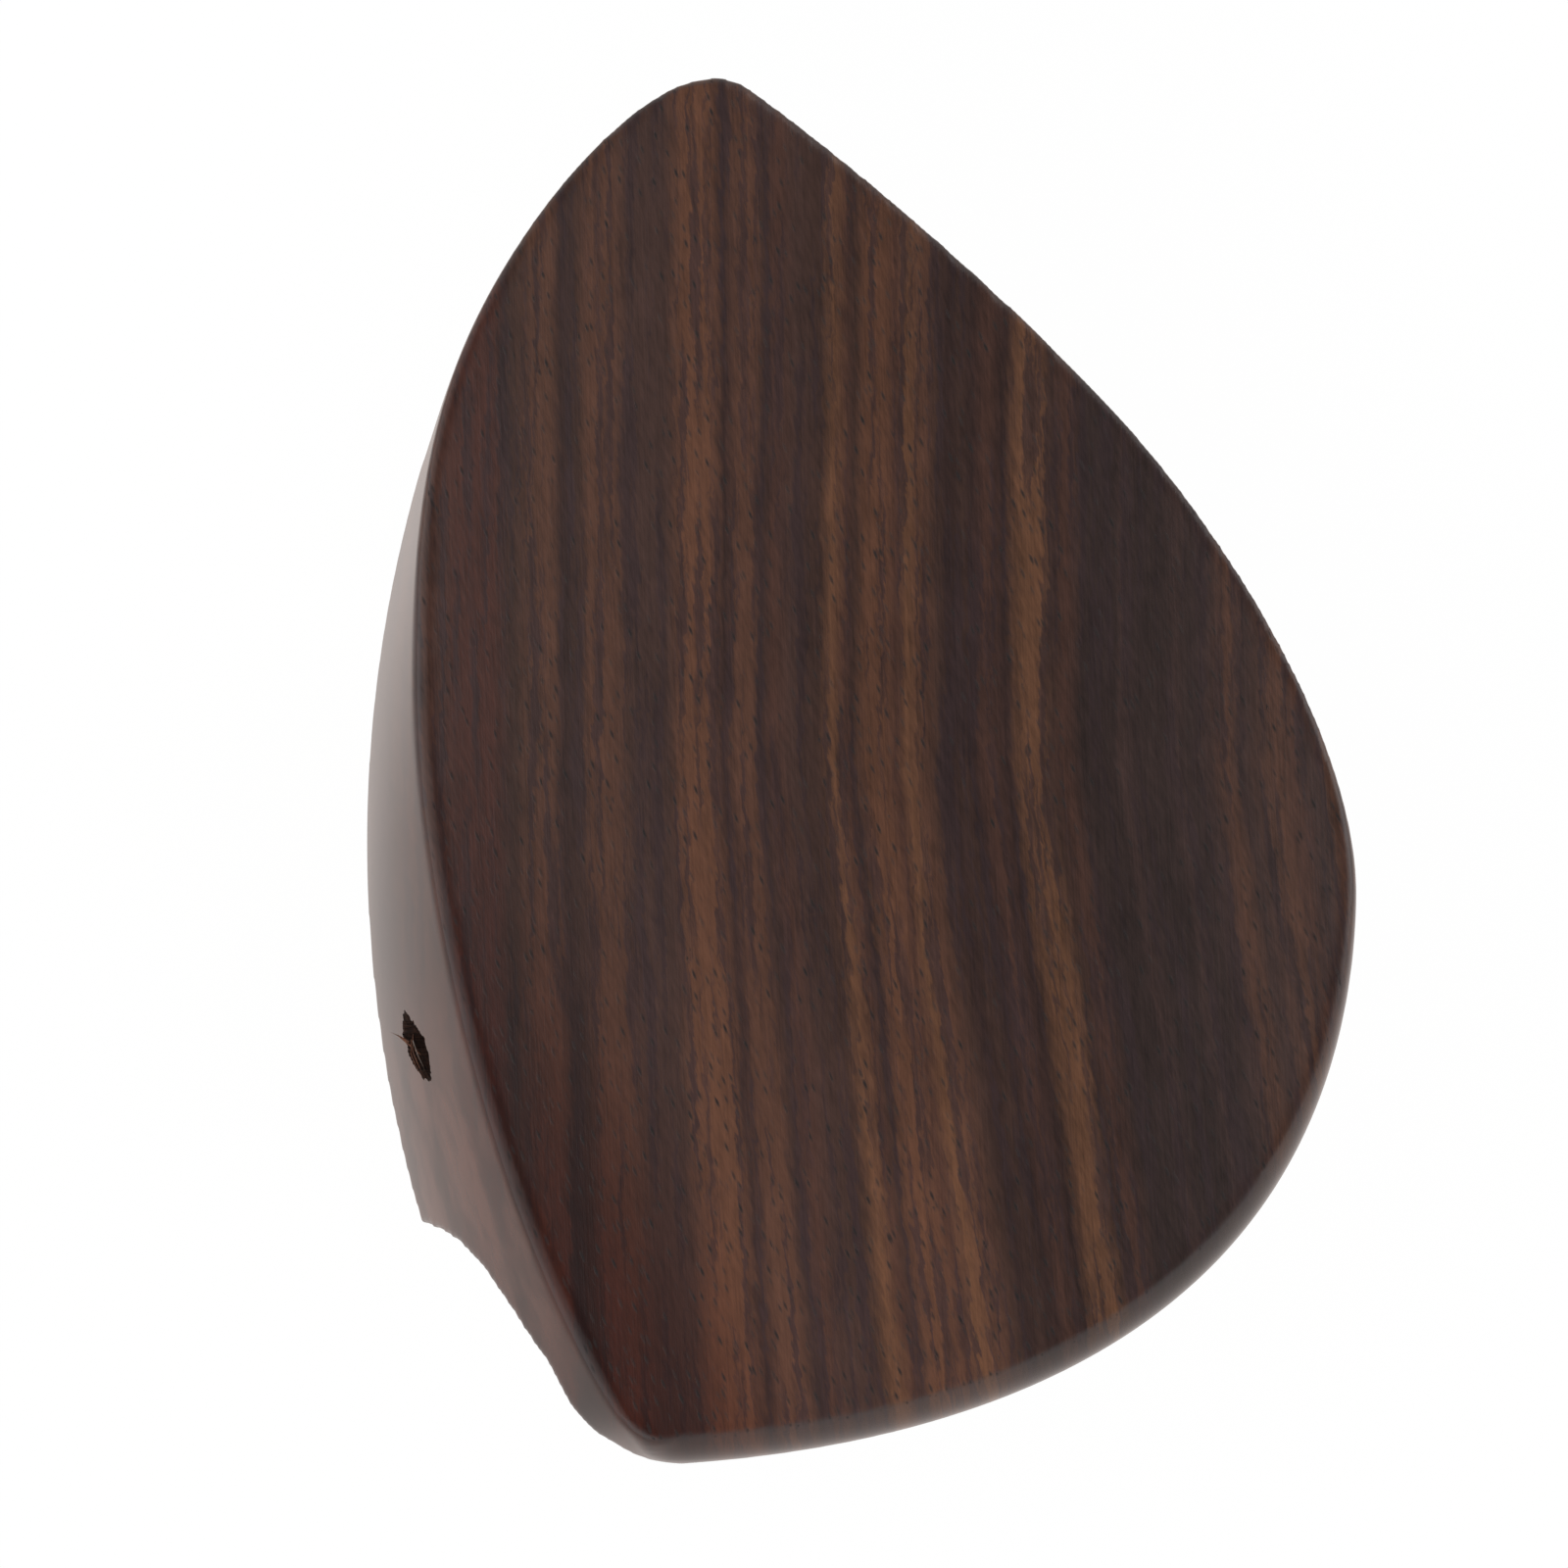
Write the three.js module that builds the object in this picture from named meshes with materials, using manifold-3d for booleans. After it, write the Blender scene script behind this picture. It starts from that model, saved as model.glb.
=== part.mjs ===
import * as THREE from 'three';
import { mergeVertices } from 'three/addons/utils/BufferGeometryUtils.js';
import Module from 'manifold-3d';

// A side-mounted violin chinrest: a dished rosewood plate carved in one with its foot,
// a cork pad that stands on the violin's top edge, and a two-screw clamp under the foot.
// Millimetres, +Z up. The origin is the middle of the foot cork's lower face.
// +X runs inboard over the violin's belly and +Y towards the plate's pointed tip.

// Violin edge that the clamp takes
const edgeThickness = 38;
const edgeArcRadius = 100;

// Carved plate and foot
const plateLength = 110.7;
const plateWidth = 77.1;
const plateReachBelow = 50.45;
const dishFloorHeight = 19;
const dishFallShare = 0.085;
const dishRiseAcross = 5.6;
const dishRiseAlong = 3.9;
const dishCentreX = 22;
const dishCentreY = 1;
const rimCrispRadius = 0.5;
const rimSoftRadius = 2.7;
const softRimStartShare = 0.8;
const softRimFullShare = 1.15;
const plateUndercut = 4.2;
const undersideFloorHeight = 12.2;
const undersideFallShare = 0.06;
const undersideRise = 4.5;
const footOverhang = 10;
const rimSetIn = 2.27;
const footEndDegrees = 17;
const footEndRun = 14.2;
const footEndFlarePower = 0.32;
const footInnerRun = 13;
const footInnerFlarePower = 0.5;
const footMargin = 1.2;
const wallSwingRun = 10.7;
const wallFadeStart = 41.8;
const wallFadeRun = 10.8;
const carvingStock = 1.5;

// Side hole in the outer wall
const sideHoleDiameter = 5;
const sideHoleDepth = 11;
const sideHoleY = -17;
const sideHoleHeight = 9.4;

// Cork pads
const corkThickness = 2.5;
const corkWidth = 12.8;
const corkSetBack = 0.2;
const footCorkHalfDegrees = 14;
const jawCorkHalfDegrees = 11.5;

// Clamp brackets
const fitGap = 0.3;
const legSpacing = 34;
const barrelClearance = 0.6;
const bracketThickness = 2;
const bracketEndMargin = 4.5;
const bracketWidth = 7.4;
const jawThickness = 2.4;
const jawEndMargin = 4.5;
const jawOuterMargin = 0.2;
const jawCornerRadius = 3.4;
const jawInnerMargin = 0.8;

// Threaded legs and turning barrels
const threadDiameter = 4;
const threadPlay = 0.12;
const spigotDiameter = 3;
const collarDiameter = 5.6;
const collarThickness = 1.5;
const legThreadLength = 16;
const legChamfer = 0.5;
const barrelDiameter = 6.5;
const barrelLength = 26;
const barrelChamfer = 0.6;
const keyHoleDiameter = 2;
const keyHoleRise = 2.2;

// Bracket screws
const screwSpacing = 16;
const screwHeadDiameter = 5.2;
const screwShankDiameter = 2.8;
const screwCoreDiameter = 1.2;
const screwLength = 11;
const screwTipLength = 3;
const screwSlotWidth = 0.8;
const screwSlotDepth = 0.7;
const screwHeadFlat = 0.3;

// Facet counts
const roundSides = 24;
const outlineStations = 112;
const cutOverrun = 1;

// Heights and radii that follow from the sizes above
const footBottom = corkThickness;
const padOuterRadius = edgeArcRadius - corkSetBack;
const padInnerRadius = padOuterRadius - corkWidth;
const arcCentreX = (padOuterRadius + padInnerRadius) / 2;
const footArcRadius = edgeArcRadius + footOverhang;
const footInnerRadius = padInnerRadius - footMargin;
const plateLeft = arcCentreX - footArcRadius + rimSetIn;
const jawCorkTop = -edgeThickness;
const jawTop = jawCorkTop - corkThickness;
const upperCollarBottom = footBottom - collarThickness;
const lowerCollarTop = jawTop + collarThickness;
const barrelCentre = (upperCollarBottom + lowerCollarTop) / 2;
const edgeXAtLegs = arcCentreX - Math.sqrt(edgeArcRadius ** 2 - (legSpacing / 2) ** 2);
const legX = edgeXAtLegs - barrelClearance - barrelDiameter / 2;
const bracketLength = legSpacing + 2 * bracketEndMargin;
const jawLength = legSpacing + 2 * jawEndMargin;

const wasm = await Module();
wasm.setup();

const { clamp, degToRad, smoothstep } = THREE.MathUtils;

// Turns a closed geometry into a solid that can be cut and joined.
function toSolid(geometry) {
  const bare = geometry.index ? geometry.toNonIndexed() : geometry.clone();
  bare.deleteAttribute('normal');
  bare.deleteAttribute('uv');
  const merged = mergeVertices(bare);
  return new wasm.Manifold(new wasm.Mesh({
    numProp: 3,
    vertProperties: new Float32Array(merged.attributes.position.array),
    triVerts: new Uint32Array(merged.index.array),
  }));
}

// Turns a solid back into a geometry.
function toGeometry(solid) {
  const mesh = solid.getMesh();
  const geometry = new THREE.BufferGeometry();
  geometry.setAttribute('position', new THREE.BufferAttribute(mesh.vertProperties, 3));
  geometry.setIndex(new THREE.BufferAttribute(mesh.triVerts, 1));
  geometry.computeVertexNormals();
  return geometry;
}

// A round solid from (radius, height) pairs, turned about the Z axis.
function turned(profile, sides = roundSides) {
  const points = profile.map(([radius, height]) => new THREE.Vector2(radius, height));
  return new THREE.LatheGeometry(points, sides).rotateX(Math.PI / 2);
}

// A plain round pin from one height to another.
function pin(radius, low, high, sides = roundSides) {
  return turned([[0, low], [radius, low], [radius, high], [0, high]], sides);
}

// A flat plate: an outline drawn in X and Y, raised from one height to another.
function slab(shape, low, high) {
  const settings = { depth: high - low, bevelEnabled: false, curveSegments: roundSides / 4 };
  return new THREE.ExtrudeGeometry(shape, settings).translate(0, 0, low);
}

// A closed solid from rings of points with a middle point at each end.
function loft(firstMiddle, rings, lastMiddle) {
  const count = rings[0].length;
  const positions = [firstMiddle, ...rings.flat(), lastMiddle].flat();
  const last = rings.length * count + 1;
  const faces = [];
  for (let i = 0; i < count; i++) {
    const next = (i + 1) % count;
    faces.push(0, 1 + next, 1 + i);
    for (let r = 0; r < rings.length - 1; r++) {
      const near = 1 + r * count;
      const far = near + count;
      faces.push(near + i, near + next, far + i);
      faces.push(near + next, far + next, far + i);
    }
    const end = last - count;
    faces.push(last, end + i, end + next);
  }
  const geometry = new THREE.BufferGeometry();
  geometry.setAttribute('position', new THREE.Float32BufferAttribute(positions, 3));
  geometry.setIndex(faces);
  return geometry;
}

// The plate's outline seen from above, in shares of its width and length,
// from the tip down the inboard side, round the lower corner and up the outer rim.
function plateOutline() {
  const at = (acrossShare, alongShare) => [
    plateLeft + acrossShare * plateWidth,
    alongShare * plateLength - plateReachBelow,
  ];
  const outline = new THREE.Path();
  outline.moveTo(...at(0.3478, 0.9957));
  outline.bezierCurveTo(...at(0.4588, 0.9473), ...at(0.6428, 0.846), ...at(0.7631, 0.7522));
  outline.bezierCurveTo(...at(0.8934, 0.6506), ...at(0.998, 0.5097), ...at(1, 0.4131));
  outline.bezierCurveTo(...at(1, 0.116), ...at(0.6295, 0.0171), ...at(0.2912, 0.0003));
  outline.quadraticCurveTo(...at(0.2555, -0.0013), ...at(0.24, 0.0115));
  outline.bezierCurveTo(...at(0.1032, 0.1235), ...at(0, 0.3991), ...at(0, 0.5655));
  outline.bezierCurveTo(...at(0, 0.6597), ...at(0.0072, 0.7431), ...at(0.0679, 0.8276));
  outline.bezierCurveTo(...at(0.1367, 0.9236), ...at(0.219, 0.9755), ...at(0.2764, 0.999));
  outline.quadraticCurveTo(...at(0.323, 1.0055), ...at(0.3478, 0.9957));
  return outline;
}

// Height of a shallow bowl over the plate that also falls towards the inboard side.
function bowlHeight(x, y, floor, fallShare, riseAcross, riseAlong) {
  const acrossShare = (x - dishCentreX) / (plateWidth / 2);
  const alongShare = (y - dishCentreY) / (plateLength / 2);
  const rise = riseAcross * acrossShare ** 2 + riseAlong * alongShare ** 2;
  return floor + fallShare * (dishCentreX - x) + rise;
}

// Height of the dished top.
function dishHeight(x, y) {
  return bowlHeight(x, y, dishFloorHeight, dishFallShare, dishRiseAcross, dishRiseAlong);
}

// How far the outer wall has swung out from the rim where it meets the foot's lower face.
// On the foot's side the wall comes down onto an arc that runs along the violin's edge.
function wallSwing(point, normal, footShare) {
  const fromX = point.x - arcCentreX;
  const along = fromX * normal.x + point.y * normal.y;
  const inside = footArcRadius ** 2 - (fromX ** 2 + point.y ** 2 - along ** 2);
  const toArc = inside > 0 ? Math.sqrt(inside) - along : 0;
  return footShare * toArc - (1 - footShare) * plateUndercut;
}

// The block that the plate and foot are carved from: dished top, rounded rim, ruled wall.
function carvedBlock() {
  const outline = plateOutline();
  const lengths = outline.getCurveLengths();
  const perimeter = lengths[lengths.length - 1];
  const cornerShare = lengths[2] / perimeter;
  const bellyShare = lengths[1] / perimeter;
  const cornerEase = rimSoftRadius / perimeter;
  const swingEase = wallSwingRun / perimeter;
  const dishShares = [0.25, 0.5, 0.75, 1];
  const wallShares = [0.2, 0.45, 1];
  const roundSteps = 3;
  const low = footBottom - carvingStock;
  const dishRings = dishShares.map(() => []);
  const roundRings = Array.from({ length: roundSteps }, () => []);
  const wallRings = wallShares.map(() => []);
  for (let i = 0; i < outlineStations; i++) {
    const share = i / outlineStations;
    const point = outline.getPoint(share);
    const ahead = outline.getPoint((share + cornerEase / 2) % 1);
    const behind = outline.getPoint((share + 1 - cornerEase / 2) % 1);
    const run = ahead.clone().sub(behind).normalize();
    const normal = new THREE.Vector2(-run.y, run.x);
    const softShare = smoothstep(share, bellyShare * softRimStartShare, bellyShare * softRimFullShare)
      * (1 - smoothstep(share, cornerShare - cornerEase, cornerShare + 2 * cornerEase));
    const round = rimCrispRadius + (rimSoftRadius - rimCrispRadius) * softShare;
    const rim = point.clone().addScaledVector(normal, -round);
    const top = dishHeight(rim.x, rim.y);
    dishShares.forEach((dishShare, r) => {
      const x = dishCentreX + (rim.x - dishCentreX) * dishShare;
      const y = dishCentreY + (rim.y - dishCentreY) * dishShare;
      dishRings[r].push([x, y, dishHeight(x, y)]);
    });
    for (let r = 0; r < roundSteps; r++) {
      const angle = (r + 1) / roundSteps * Math.PI / 2;
      const spot = rim.clone().addScaledVector(normal, round * Math.sin(angle));
      roundRings[r].push([spot.x, spot.y, top - round * (1 - Math.cos(angle))]);
    }
    const footShare = smoothstep(share, cornerShare - cornerEase, cornerShare + swingEase)
      * (1 - smoothstep(point.y, wallFadeStart, wallFadeStart + wallFadeRun));
    const wallTop = top - round;
    const stretch = (wallTop - low) / (wallTop - footBottom);
    const swing = wallSwing(point, normal, footShare) * stretch;
    wallShares.forEach((wallShare, r) => {
      const spot = point.clone().addScaledVector(normal, swing * wallShare);
      wallRings[r].push([spot.x, spot.y, wallTop + (low - wallTop) * wallShare]);
    });
  }
  const rings = [...dishRings, ...roundRings, ...wallRings];
  const topMiddle = [dishCentreX, dishCentreY, dishHeight(dishCentreX, dishCentreY)];
  return loft(topMiddle, rings, [dishCentreX, dishCentreY, low]);
}

// Height of the carved underside, which drops onto the foot's flat lower face.
function undersideHeight(radius, angle) {
  const x = arcCentreX - radius * Math.cos(angle);
  const y = radius * Math.sin(angle);
  const plain = bowlHeight(x, y, undersideFloorHeight, undersideFallShare, undersideRise, undersideRise);
  const pastEnd = (Math.abs(angle) - degToRad(footEndDegrees)) * footArcRadius;
  const pastInner = footInnerRadius - radius;
  const endShare = clamp(pastEnd / footEndRun, 0, 1) ** footEndFlarePower;
  const innerShare = clamp(pastInner / footInnerRun, 0, 1) ** footInnerFlarePower;
  const riseShare = 1 - (1 - endShare) * (1 - innerShare);
  return [x, y, footBottom + (plain - footBottom) * riseShare];
}

// What is carved away beneath the plate and round the foot.
function undersideCut() {
  const footEnd = degToRad(footEndDegrees);
  const endRun = footEndRun / footArcRadius;
  const runShares = [0, 0.015, 0.07, 0.2, 0.42, 0.7, 1];
  const far = Math.PI / 3;
  const farShares = [0.25, 0.55, 1];
  const half = [
    ...runShares.map((share) => footEnd + endRun * share),
    ...farShares.map((share) => footEnd + endRun + (far - footEnd - endRun) * share),
  ];
  const footShares = [-0.67, -0.33, 0, 0.33, 0.67];
  const angles = [
    ...half.map((angle) => -angle).reverse(),
    ...footShares.map((share) => footEnd * share),
    ...half,
  ];
  const outer = footArcRadius + plateUndercut + footEndRun;
  const inner = arcCentreX - plateLeft - plateWidth - plateUndercut;
  const radii = [
    outer,
    ...[0, 0.02, 0.1, 0.3, 0.6, 1].map((share) => footInnerRadius - footInnerRun * share),
  ];
  const lastRadius = radii[radii.length - 1];
  for (const share of [0.3, 0.6, 1]) {
    radii.push(lastRadius + (inner - lastRadius) * share);
  }
  const low = -cutOverrun;
  const across = angles.length;
  const positions = [];
  for (const radius of radii) {
    for (const angle of angles) {
      positions.push(...undersideHeight(radius, angle));
    }
  }
  const layer = positions.length / 3;
  for (let i = 0; i < layer; i++) {
    positions.push(positions[3 * i], positions[3 * i + 1], low);
  }
  const faces = [];
  const quad = (a, b, c, d) => faces.push(a, b, c, a, c, d);
  for (let r = 0; r < radii.length - 1; r++) {
    for (let a = 0; a < across - 1; a++) {
      const corner = r * across + a;
      quad(corner, corner + across, corner + across + 1, corner + 1);
      quad(layer + corner, layer + corner + 1, layer + corner + across + 1, layer + corner + across);
    }
    const left = r * across;
    const right = left + across - 1;
    quad(left, layer + left, layer + left + across, left + across);
    quad(right, right + across, layer + right + across, layer + right);
  }
  const lastRow = (radii.length - 1) * across;
  for (let a = 0; a < across - 1; a++) {
    quad(a, a + 1, layer + a + 1, layer + a);
    quad(lastRow + a, layer + lastRow + a, layer + lastRow + a + 1, lastRow + a + 1);
  }
  const geometry = new THREE.BufferGeometry();
  geometry.setAttribute('position', new THREE.Float32BufferAttribute(positions, 3));
  geometry.setIndex(faces);
  return geometry;
}

// A bar with round ends, centred on the legs' line and longer along Y.
function barShape(length, width) {
  const radius = width / 2;
  const straight = length / 2 - radius;
  const shape = new THREE.Shape();
  shape.absarc(legX, straight, radius, 0, Math.PI, false);
  shape.absarc(legX, -straight, radius, Math.PI, 2 * Math.PI, false);
  return shape;
}

// A pad that follows the violin's edge between two radii.
function padShape(outerRadius, innerRadius, halfDegrees) {
  const half = degToRad(halfDegrees);
  const shape = new THREE.Shape();
  shape.absarc(arcCentreX, 0, outerRadius, Math.PI - half, Math.PI + half, false);
  shape.absarc(arcCentreX, 0, innerRadius, Math.PI + half, Math.PI - half, true);
  return shape;
}

// Both places of something that comes twice, one each side of the middle.
function pairPlaces(spacing) {
  return [-spacing / 2, spacing / 2];
}

// The rosewood plate and foot, with the side hole, the bracket's recess and its screw holes.
function chinrestBody() {
  let body = toSolid(carvedBlock()).subtract(toSolid(undersideCut()));
  const recess = barShape(bracketLength + 2 * fitGap, bracketWidth + 2 * fitGap);
  const recessTop = footBottom + bracketThickness;
  body = body.subtract(toSolid(slab(recess, footBottom - cutOverrun, recessTop)));
  for (const y of pairPlaces(screwSpacing)) {
    const hole = pin(screwShankDiameter / 2 + fitGap, footBottom, footBottom + screwLength + fitGap);
    body = body.subtract(toSolid(hole.translate(legX, y, 0)));
  }
  for (const y of pairPlaces(legSpacing)) {
    const hole = pin(spigotDiameter / 2 + fitGap, footBottom, recessTop + fitGap);
    body = body.subtract(toSolid(hole.translate(legX, y, 0)));
  }
  const wallX = arcCentreX - Math.sqrt(footArcRadius ** 2 - sideHoleY ** 2);
  const sideHole = pin(sideHoleDiameter / 2, -sideHoleDepth, sideHoleDepth / 2).rotateY(-Math.PI / 2);
  sideHole.translate(wallX + rimSetIn, sideHoleY, sideHoleHeight);
  return toGeometry(body.subtract(toSolid(sideHole)));
}

// The steel bar let into the foot's lower face, with holes for two legs and two screws.
function upperBracket() {
  const top = footBottom + bracketThickness;
  let bar = toSolid(slab(barShape(bracketLength, bracketWidth), footBottom, top));
  for (const y of pairPlaces(legSpacing)) {
    const hole = pin(spigotDiameter / 2 + fitGap, footBottom - cutOverrun, top + cutOverrun);
    bar = bar.subtract(toSolid(hole.translate(legX, y, 0)));
  }
  for (const y of pairPlaces(screwSpacing)) {
    const head = screwHeadDiameter / 2 + fitGap;
    const shank = screwShankDiameter / 2 + fitGap;
    const flatTop = footBottom + screwHeadFlat;
    const coneTop = flatTop + head - shank;
    const hole = turned([
      [0, footBottom - cutOverrun],
      [head, footBottom - cutOverrun],
      [head, flatTop],
      [shank, coneTop],
      [shank, top + cutOverrun],
      [0, top + cutOverrun],
    ]);
    bar = bar.subtract(toSolid(hole.translate(legX, y, 0)));
  }
  return toGeometry(bar);
}

// A countersunk wood screw, head down, with a straight slot.
function bracketScrew() {
  const head = screwHeadDiameter / 2;
  const shank = screwShankDiameter / 2;
  const flatTop = footBottom + screwHeadFlat;
  const coneTop = flatTop + head - shank;
  const tip = footBottom + screwLength;
  const screw = turned([
    [0, footBottom],
    [head, footBottom],
    [head, flatTop],
    [shank, coneTop],
    [shank, tip - screwTipLength],
    [screwCoreDiameter / 2, tip],
    [0, tip],
  ]);
  const slot = new THREE.BoxGeometry(screwSlotWidth, screwHeadDiameter + cutOverrun, 2 * screwSlotDepth);
  return toGeometry(toSolid(screw).subtract(toSolid(slot.translate(0, 0, footBottom))));
}

// A threaded leg: spigot in its bracket, collar against the bracket, thread towards the barrel.
// It is drawn hanging down from the collar's bearing face at height zero.
function threadedLeg(spigotLength) {
  const thread = threadDiameter / 2;
  const end = -collarThickness - legThreadLength;
  return turned([
    [0, end],
    [thread - legChamfer, end],
    [thread, end + legChamfer],
    [thread, -collarThickness],
    [collarDiameter / 2, -collarThickness],
    [collarDiameter / 2, 0],
    [spigotDiameter / 2, 0],
    [spigotDiameter / 2, spigotLength],
    [0, spigotLength],
  ]);
}

// A turning barrel with a bore right through and two crossed holes for the key.
function barrel() {
  const outer = barrelDiameter / 2;
  const bore = threadDiameter / 2 + threadPlay;
  const half = barrelLength / 2;
  let solid = toSolid(turned([
    [bore, -half],
    [outer - barrelChamfer, -half],
    [outer, barrelChamfer - half],
    [outer, half - barrelChamfer],
    [outer - barrelChamfer, half],
    [bore, half],
    [bore, -half],
  ]));
  const keyHole = keyHoleDiameter / 2;
  const reach = outer + cutOverrun;
  const across = pin(keyHole, -reach, reach, roundSides / 2).rotateX(Math.PI / 2);
  const along = pin(keyHole, -reach, reach, roundSides / 2).rotateY(Math.PI / 2);
  solid = solid.subtract(toSolid(across.translate(0, 0, keyHoleRise)));
  solid = solid.subtract(toSolid(along.translate(0, 0, -keyHoleRise)));
  return toGeometry(solid);
}

// The lower jaw's steel plate: its outer edge follows the violin's just outside the legs' collars,
// its corners are round, and it has holes for the two legs.
function lowerBracket() {
  const padEndX = arcCentreX - padInnerRadius * Math.cos(degToRad(jawCorkHalfDegrees));
  const inner = padEndX + jawInnerMargin;
  const legRadius = Math.hypot(arcCentreX - legX, legSpacing / 2);
  const outerRadius = legRadius + collarDiameter / 2 + jawOuterMargin;
  const cornerRadius = outerRadius - jawCornerRadius;
  const cornerY = jawLength / 2 - jawCornerRadius;
  const cornerAngle = Math.asin(cornerY / cornerRadius);
  const cornerX = arcCentreX - cornerRadius * Math.cos(cornerAngle);
  const outerStart = Math.PI - cornerAngle;
  const outerEnd = Math.PI + cornerAngle;
  const low = jawTop - jawThickness;
  const shape = new THREE.Shape();
  shape.absarc(inner - jawCornerRadius, cornerY, jawCornerRadius, 0, Math.PI / 2, false);
  shape.absarc(cornerX, cornerY, jawCornerRadius, Math.PI / 2, outerStart, false);
  shape.absarc(arcCentreX, 0, outerRadius, outerStart, outerEnd, false);
  shape.absarc(cornerX, -cornerY, jawCornerRadius, outerEnd, Math.PI * 1.5, false);
  shape.absarc(inner - jawCornerRadius, -cornerY, jawCornerRadius, Math.PI * 1.5, Math.PI * 2, false);
  let plate = toSolid(slab(shape, low, jawTop));
  for (const y of pairPlaces(legSpacing)) {
    const hole = pin(spigotDiameter / 2 + fitGap, low - cutOverrun, jawTop + cutOverrun);
    plate = plate.subtract(toSolid(hole.translate(legX, y, 0)));
  }
  return toGeometry(plate);
}

// Materials
function rosewood() {
  return new THREE.MeshStandardMaterial({ color: '#4b342b', roughness: 0.45, metalness: 0 });
}

function pressedCork() {
  return new THREE.MeshStandardMaterial({ color: '#b98d5f', roughness: 0.9, metalness: 0 });
}

function nickelPlate() {
  return new THREE.MeshStandardMaterial({ color: '#c9c5bd', roughness: 0.25, metalness: 1 });
}

// One named piece of the chinrest.
function piece(name, geometry, material) {
  const mesh = new THREE.Mesh(geometry, material);
  mesh.name = name;
  return mesh;
}

const chinrest = new THREE.Group();
chinrest.add(piece('plate_and_foot', chinrestBody(), rosewood()));
const footPad = padShape(padOuterRadius, padInnerRadius, footCorkHalfDegrees);
chinrest.add(piece('foot_cork', slab(footPad, 0, footBottom), pressedCork()));
const jawPad = padShape(padOuterRadius, padInnerRadius, jawCorkHalfDegrees);
chinrest.add(piece('jaw_cork', slab(jawPad, jawTop, jawCorkTop), pressedCork()));
chinrest.add(piece('upper_bracket', upperBracket(), nickelPlate()));
chinrest.add(piece('lower_bracket', lowerBracket(), nickelPlate()));

const ends = ['corner', 'tip'];
ends.forEach((end, i) => {
  const screw = piece(`bracket_screw_${end}`, bracketScrew(), nickelPlate());
  screw.position.set(legX, pairPlaces(screwSpacing)[i], 0);
  const upperLeg = piece(`upper_leg_${end}`, threadedLeg(bracketThickness), nickelPlate());
  upperLeg.position.set(legX, pairPlaces(legSpacing)[i], footBottom);
  const lowerLeg = piece(`lower_leg_${end}`, threadedLeg(jawThickness), nickelPlate());
  lowerLeg.position.set(legX, pairPlaces(legSpacing)[i], jawTop);
  lowerLeg.rotation.x = Math.PI;
  const turner = piece(`barrel_${end}`, barrel(), nickelPlate());
  turner.position.set(legX, pairPlaces(legSpacing)[i], barrelCentre);
  chinrest.add(screw, upperLeg, lowerLeg, turner);
});

export default chinrest;
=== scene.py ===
import math
import random

import bpy
from mathutils import Matrix, Vector, noise
from mathutils.bvhtree import BVHTree


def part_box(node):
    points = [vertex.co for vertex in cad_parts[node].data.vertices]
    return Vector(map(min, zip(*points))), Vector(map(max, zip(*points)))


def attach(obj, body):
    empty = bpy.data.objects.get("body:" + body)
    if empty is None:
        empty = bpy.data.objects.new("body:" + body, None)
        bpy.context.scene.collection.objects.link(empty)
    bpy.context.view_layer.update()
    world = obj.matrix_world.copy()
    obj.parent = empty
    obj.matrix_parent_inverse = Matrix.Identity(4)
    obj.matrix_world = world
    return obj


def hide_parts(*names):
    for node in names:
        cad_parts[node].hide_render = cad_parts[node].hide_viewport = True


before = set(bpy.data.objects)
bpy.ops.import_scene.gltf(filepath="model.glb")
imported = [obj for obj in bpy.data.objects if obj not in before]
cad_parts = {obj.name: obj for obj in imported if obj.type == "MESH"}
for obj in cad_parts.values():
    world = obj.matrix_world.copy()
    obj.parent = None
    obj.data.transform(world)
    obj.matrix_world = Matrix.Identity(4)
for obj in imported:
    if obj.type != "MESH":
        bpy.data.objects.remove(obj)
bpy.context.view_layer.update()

# A violin chinrest in oiled rosewood, with its cork pads and its nickel-plated clamp.
# Lengths are in millimetres until a mesh is made, and +X runs inboard over the violin.

MM = 0.001

# Plate and foot
PLATE_LENGTH = 110.7
PLATE_WIDTH = 77.1
PLATE_REACH_BELOW = 50.45
DISH = {"floor": 19.0, "fall": 0.085, "across": 5.6, "along": 3.9}
UNDERSIDE = {"floor": 12.2, "fall": 0.06, "across": 4.5, "along": 4.5}
DISH_CENTRE = (22.0, 1.0)
# The rim is crisp by the tip and rolls over a crease round the broad end. It softens between two shares
# of the way from the tip to the belly, and each fade below runs between two places along Y
RIM_CRISP = 0.5
RIM_SOFT = 2.6
RIM_SOFT_RUN = (0.75, 1.45)
RIM_DROP = 5.4
RIM_CREASE = math.radians(42)
RIM_EASED = 0.8
RIM_EASED_FADE = (10, 38)
WALL_BULGE = 3.2
WALL_BULGE_FADE = (5, 35)
PLATE_UNDERCUT = 4.2
ARC_CENTRE = 93.4
ARC_RADIUS = 110.0
PAD_OUTER = 99.8
PAD_INNER = 87.0
FOOT_INNER = 85.8
FOOT_END = math.radians(16.6)
FOOT_END_RUN = 14.2
# Takes the sharp start off the flare at the foot's ends
FOOT_EASED = 0.02
FOOT_INNER_RUN = 13.0
RIM_SET_IN = 2.27
WALL_SWING_RUN = 10.7
WALL_FADE = (41.8, 52.6)
CARVING_STOCK = 1.5
EDGE_ROUNDING = (0.13, 0.26)
PLATE_LEFT = ARC_CENTRE - ARC_RADIUS + RIM_SET_IN
FOOT_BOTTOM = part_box("foot_cork")[1][2] / MM
FOOT_CORK_HALF = 14
JAW_CORK_HALF = 11.5
CORK_THICKNESS = 2.5

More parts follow.
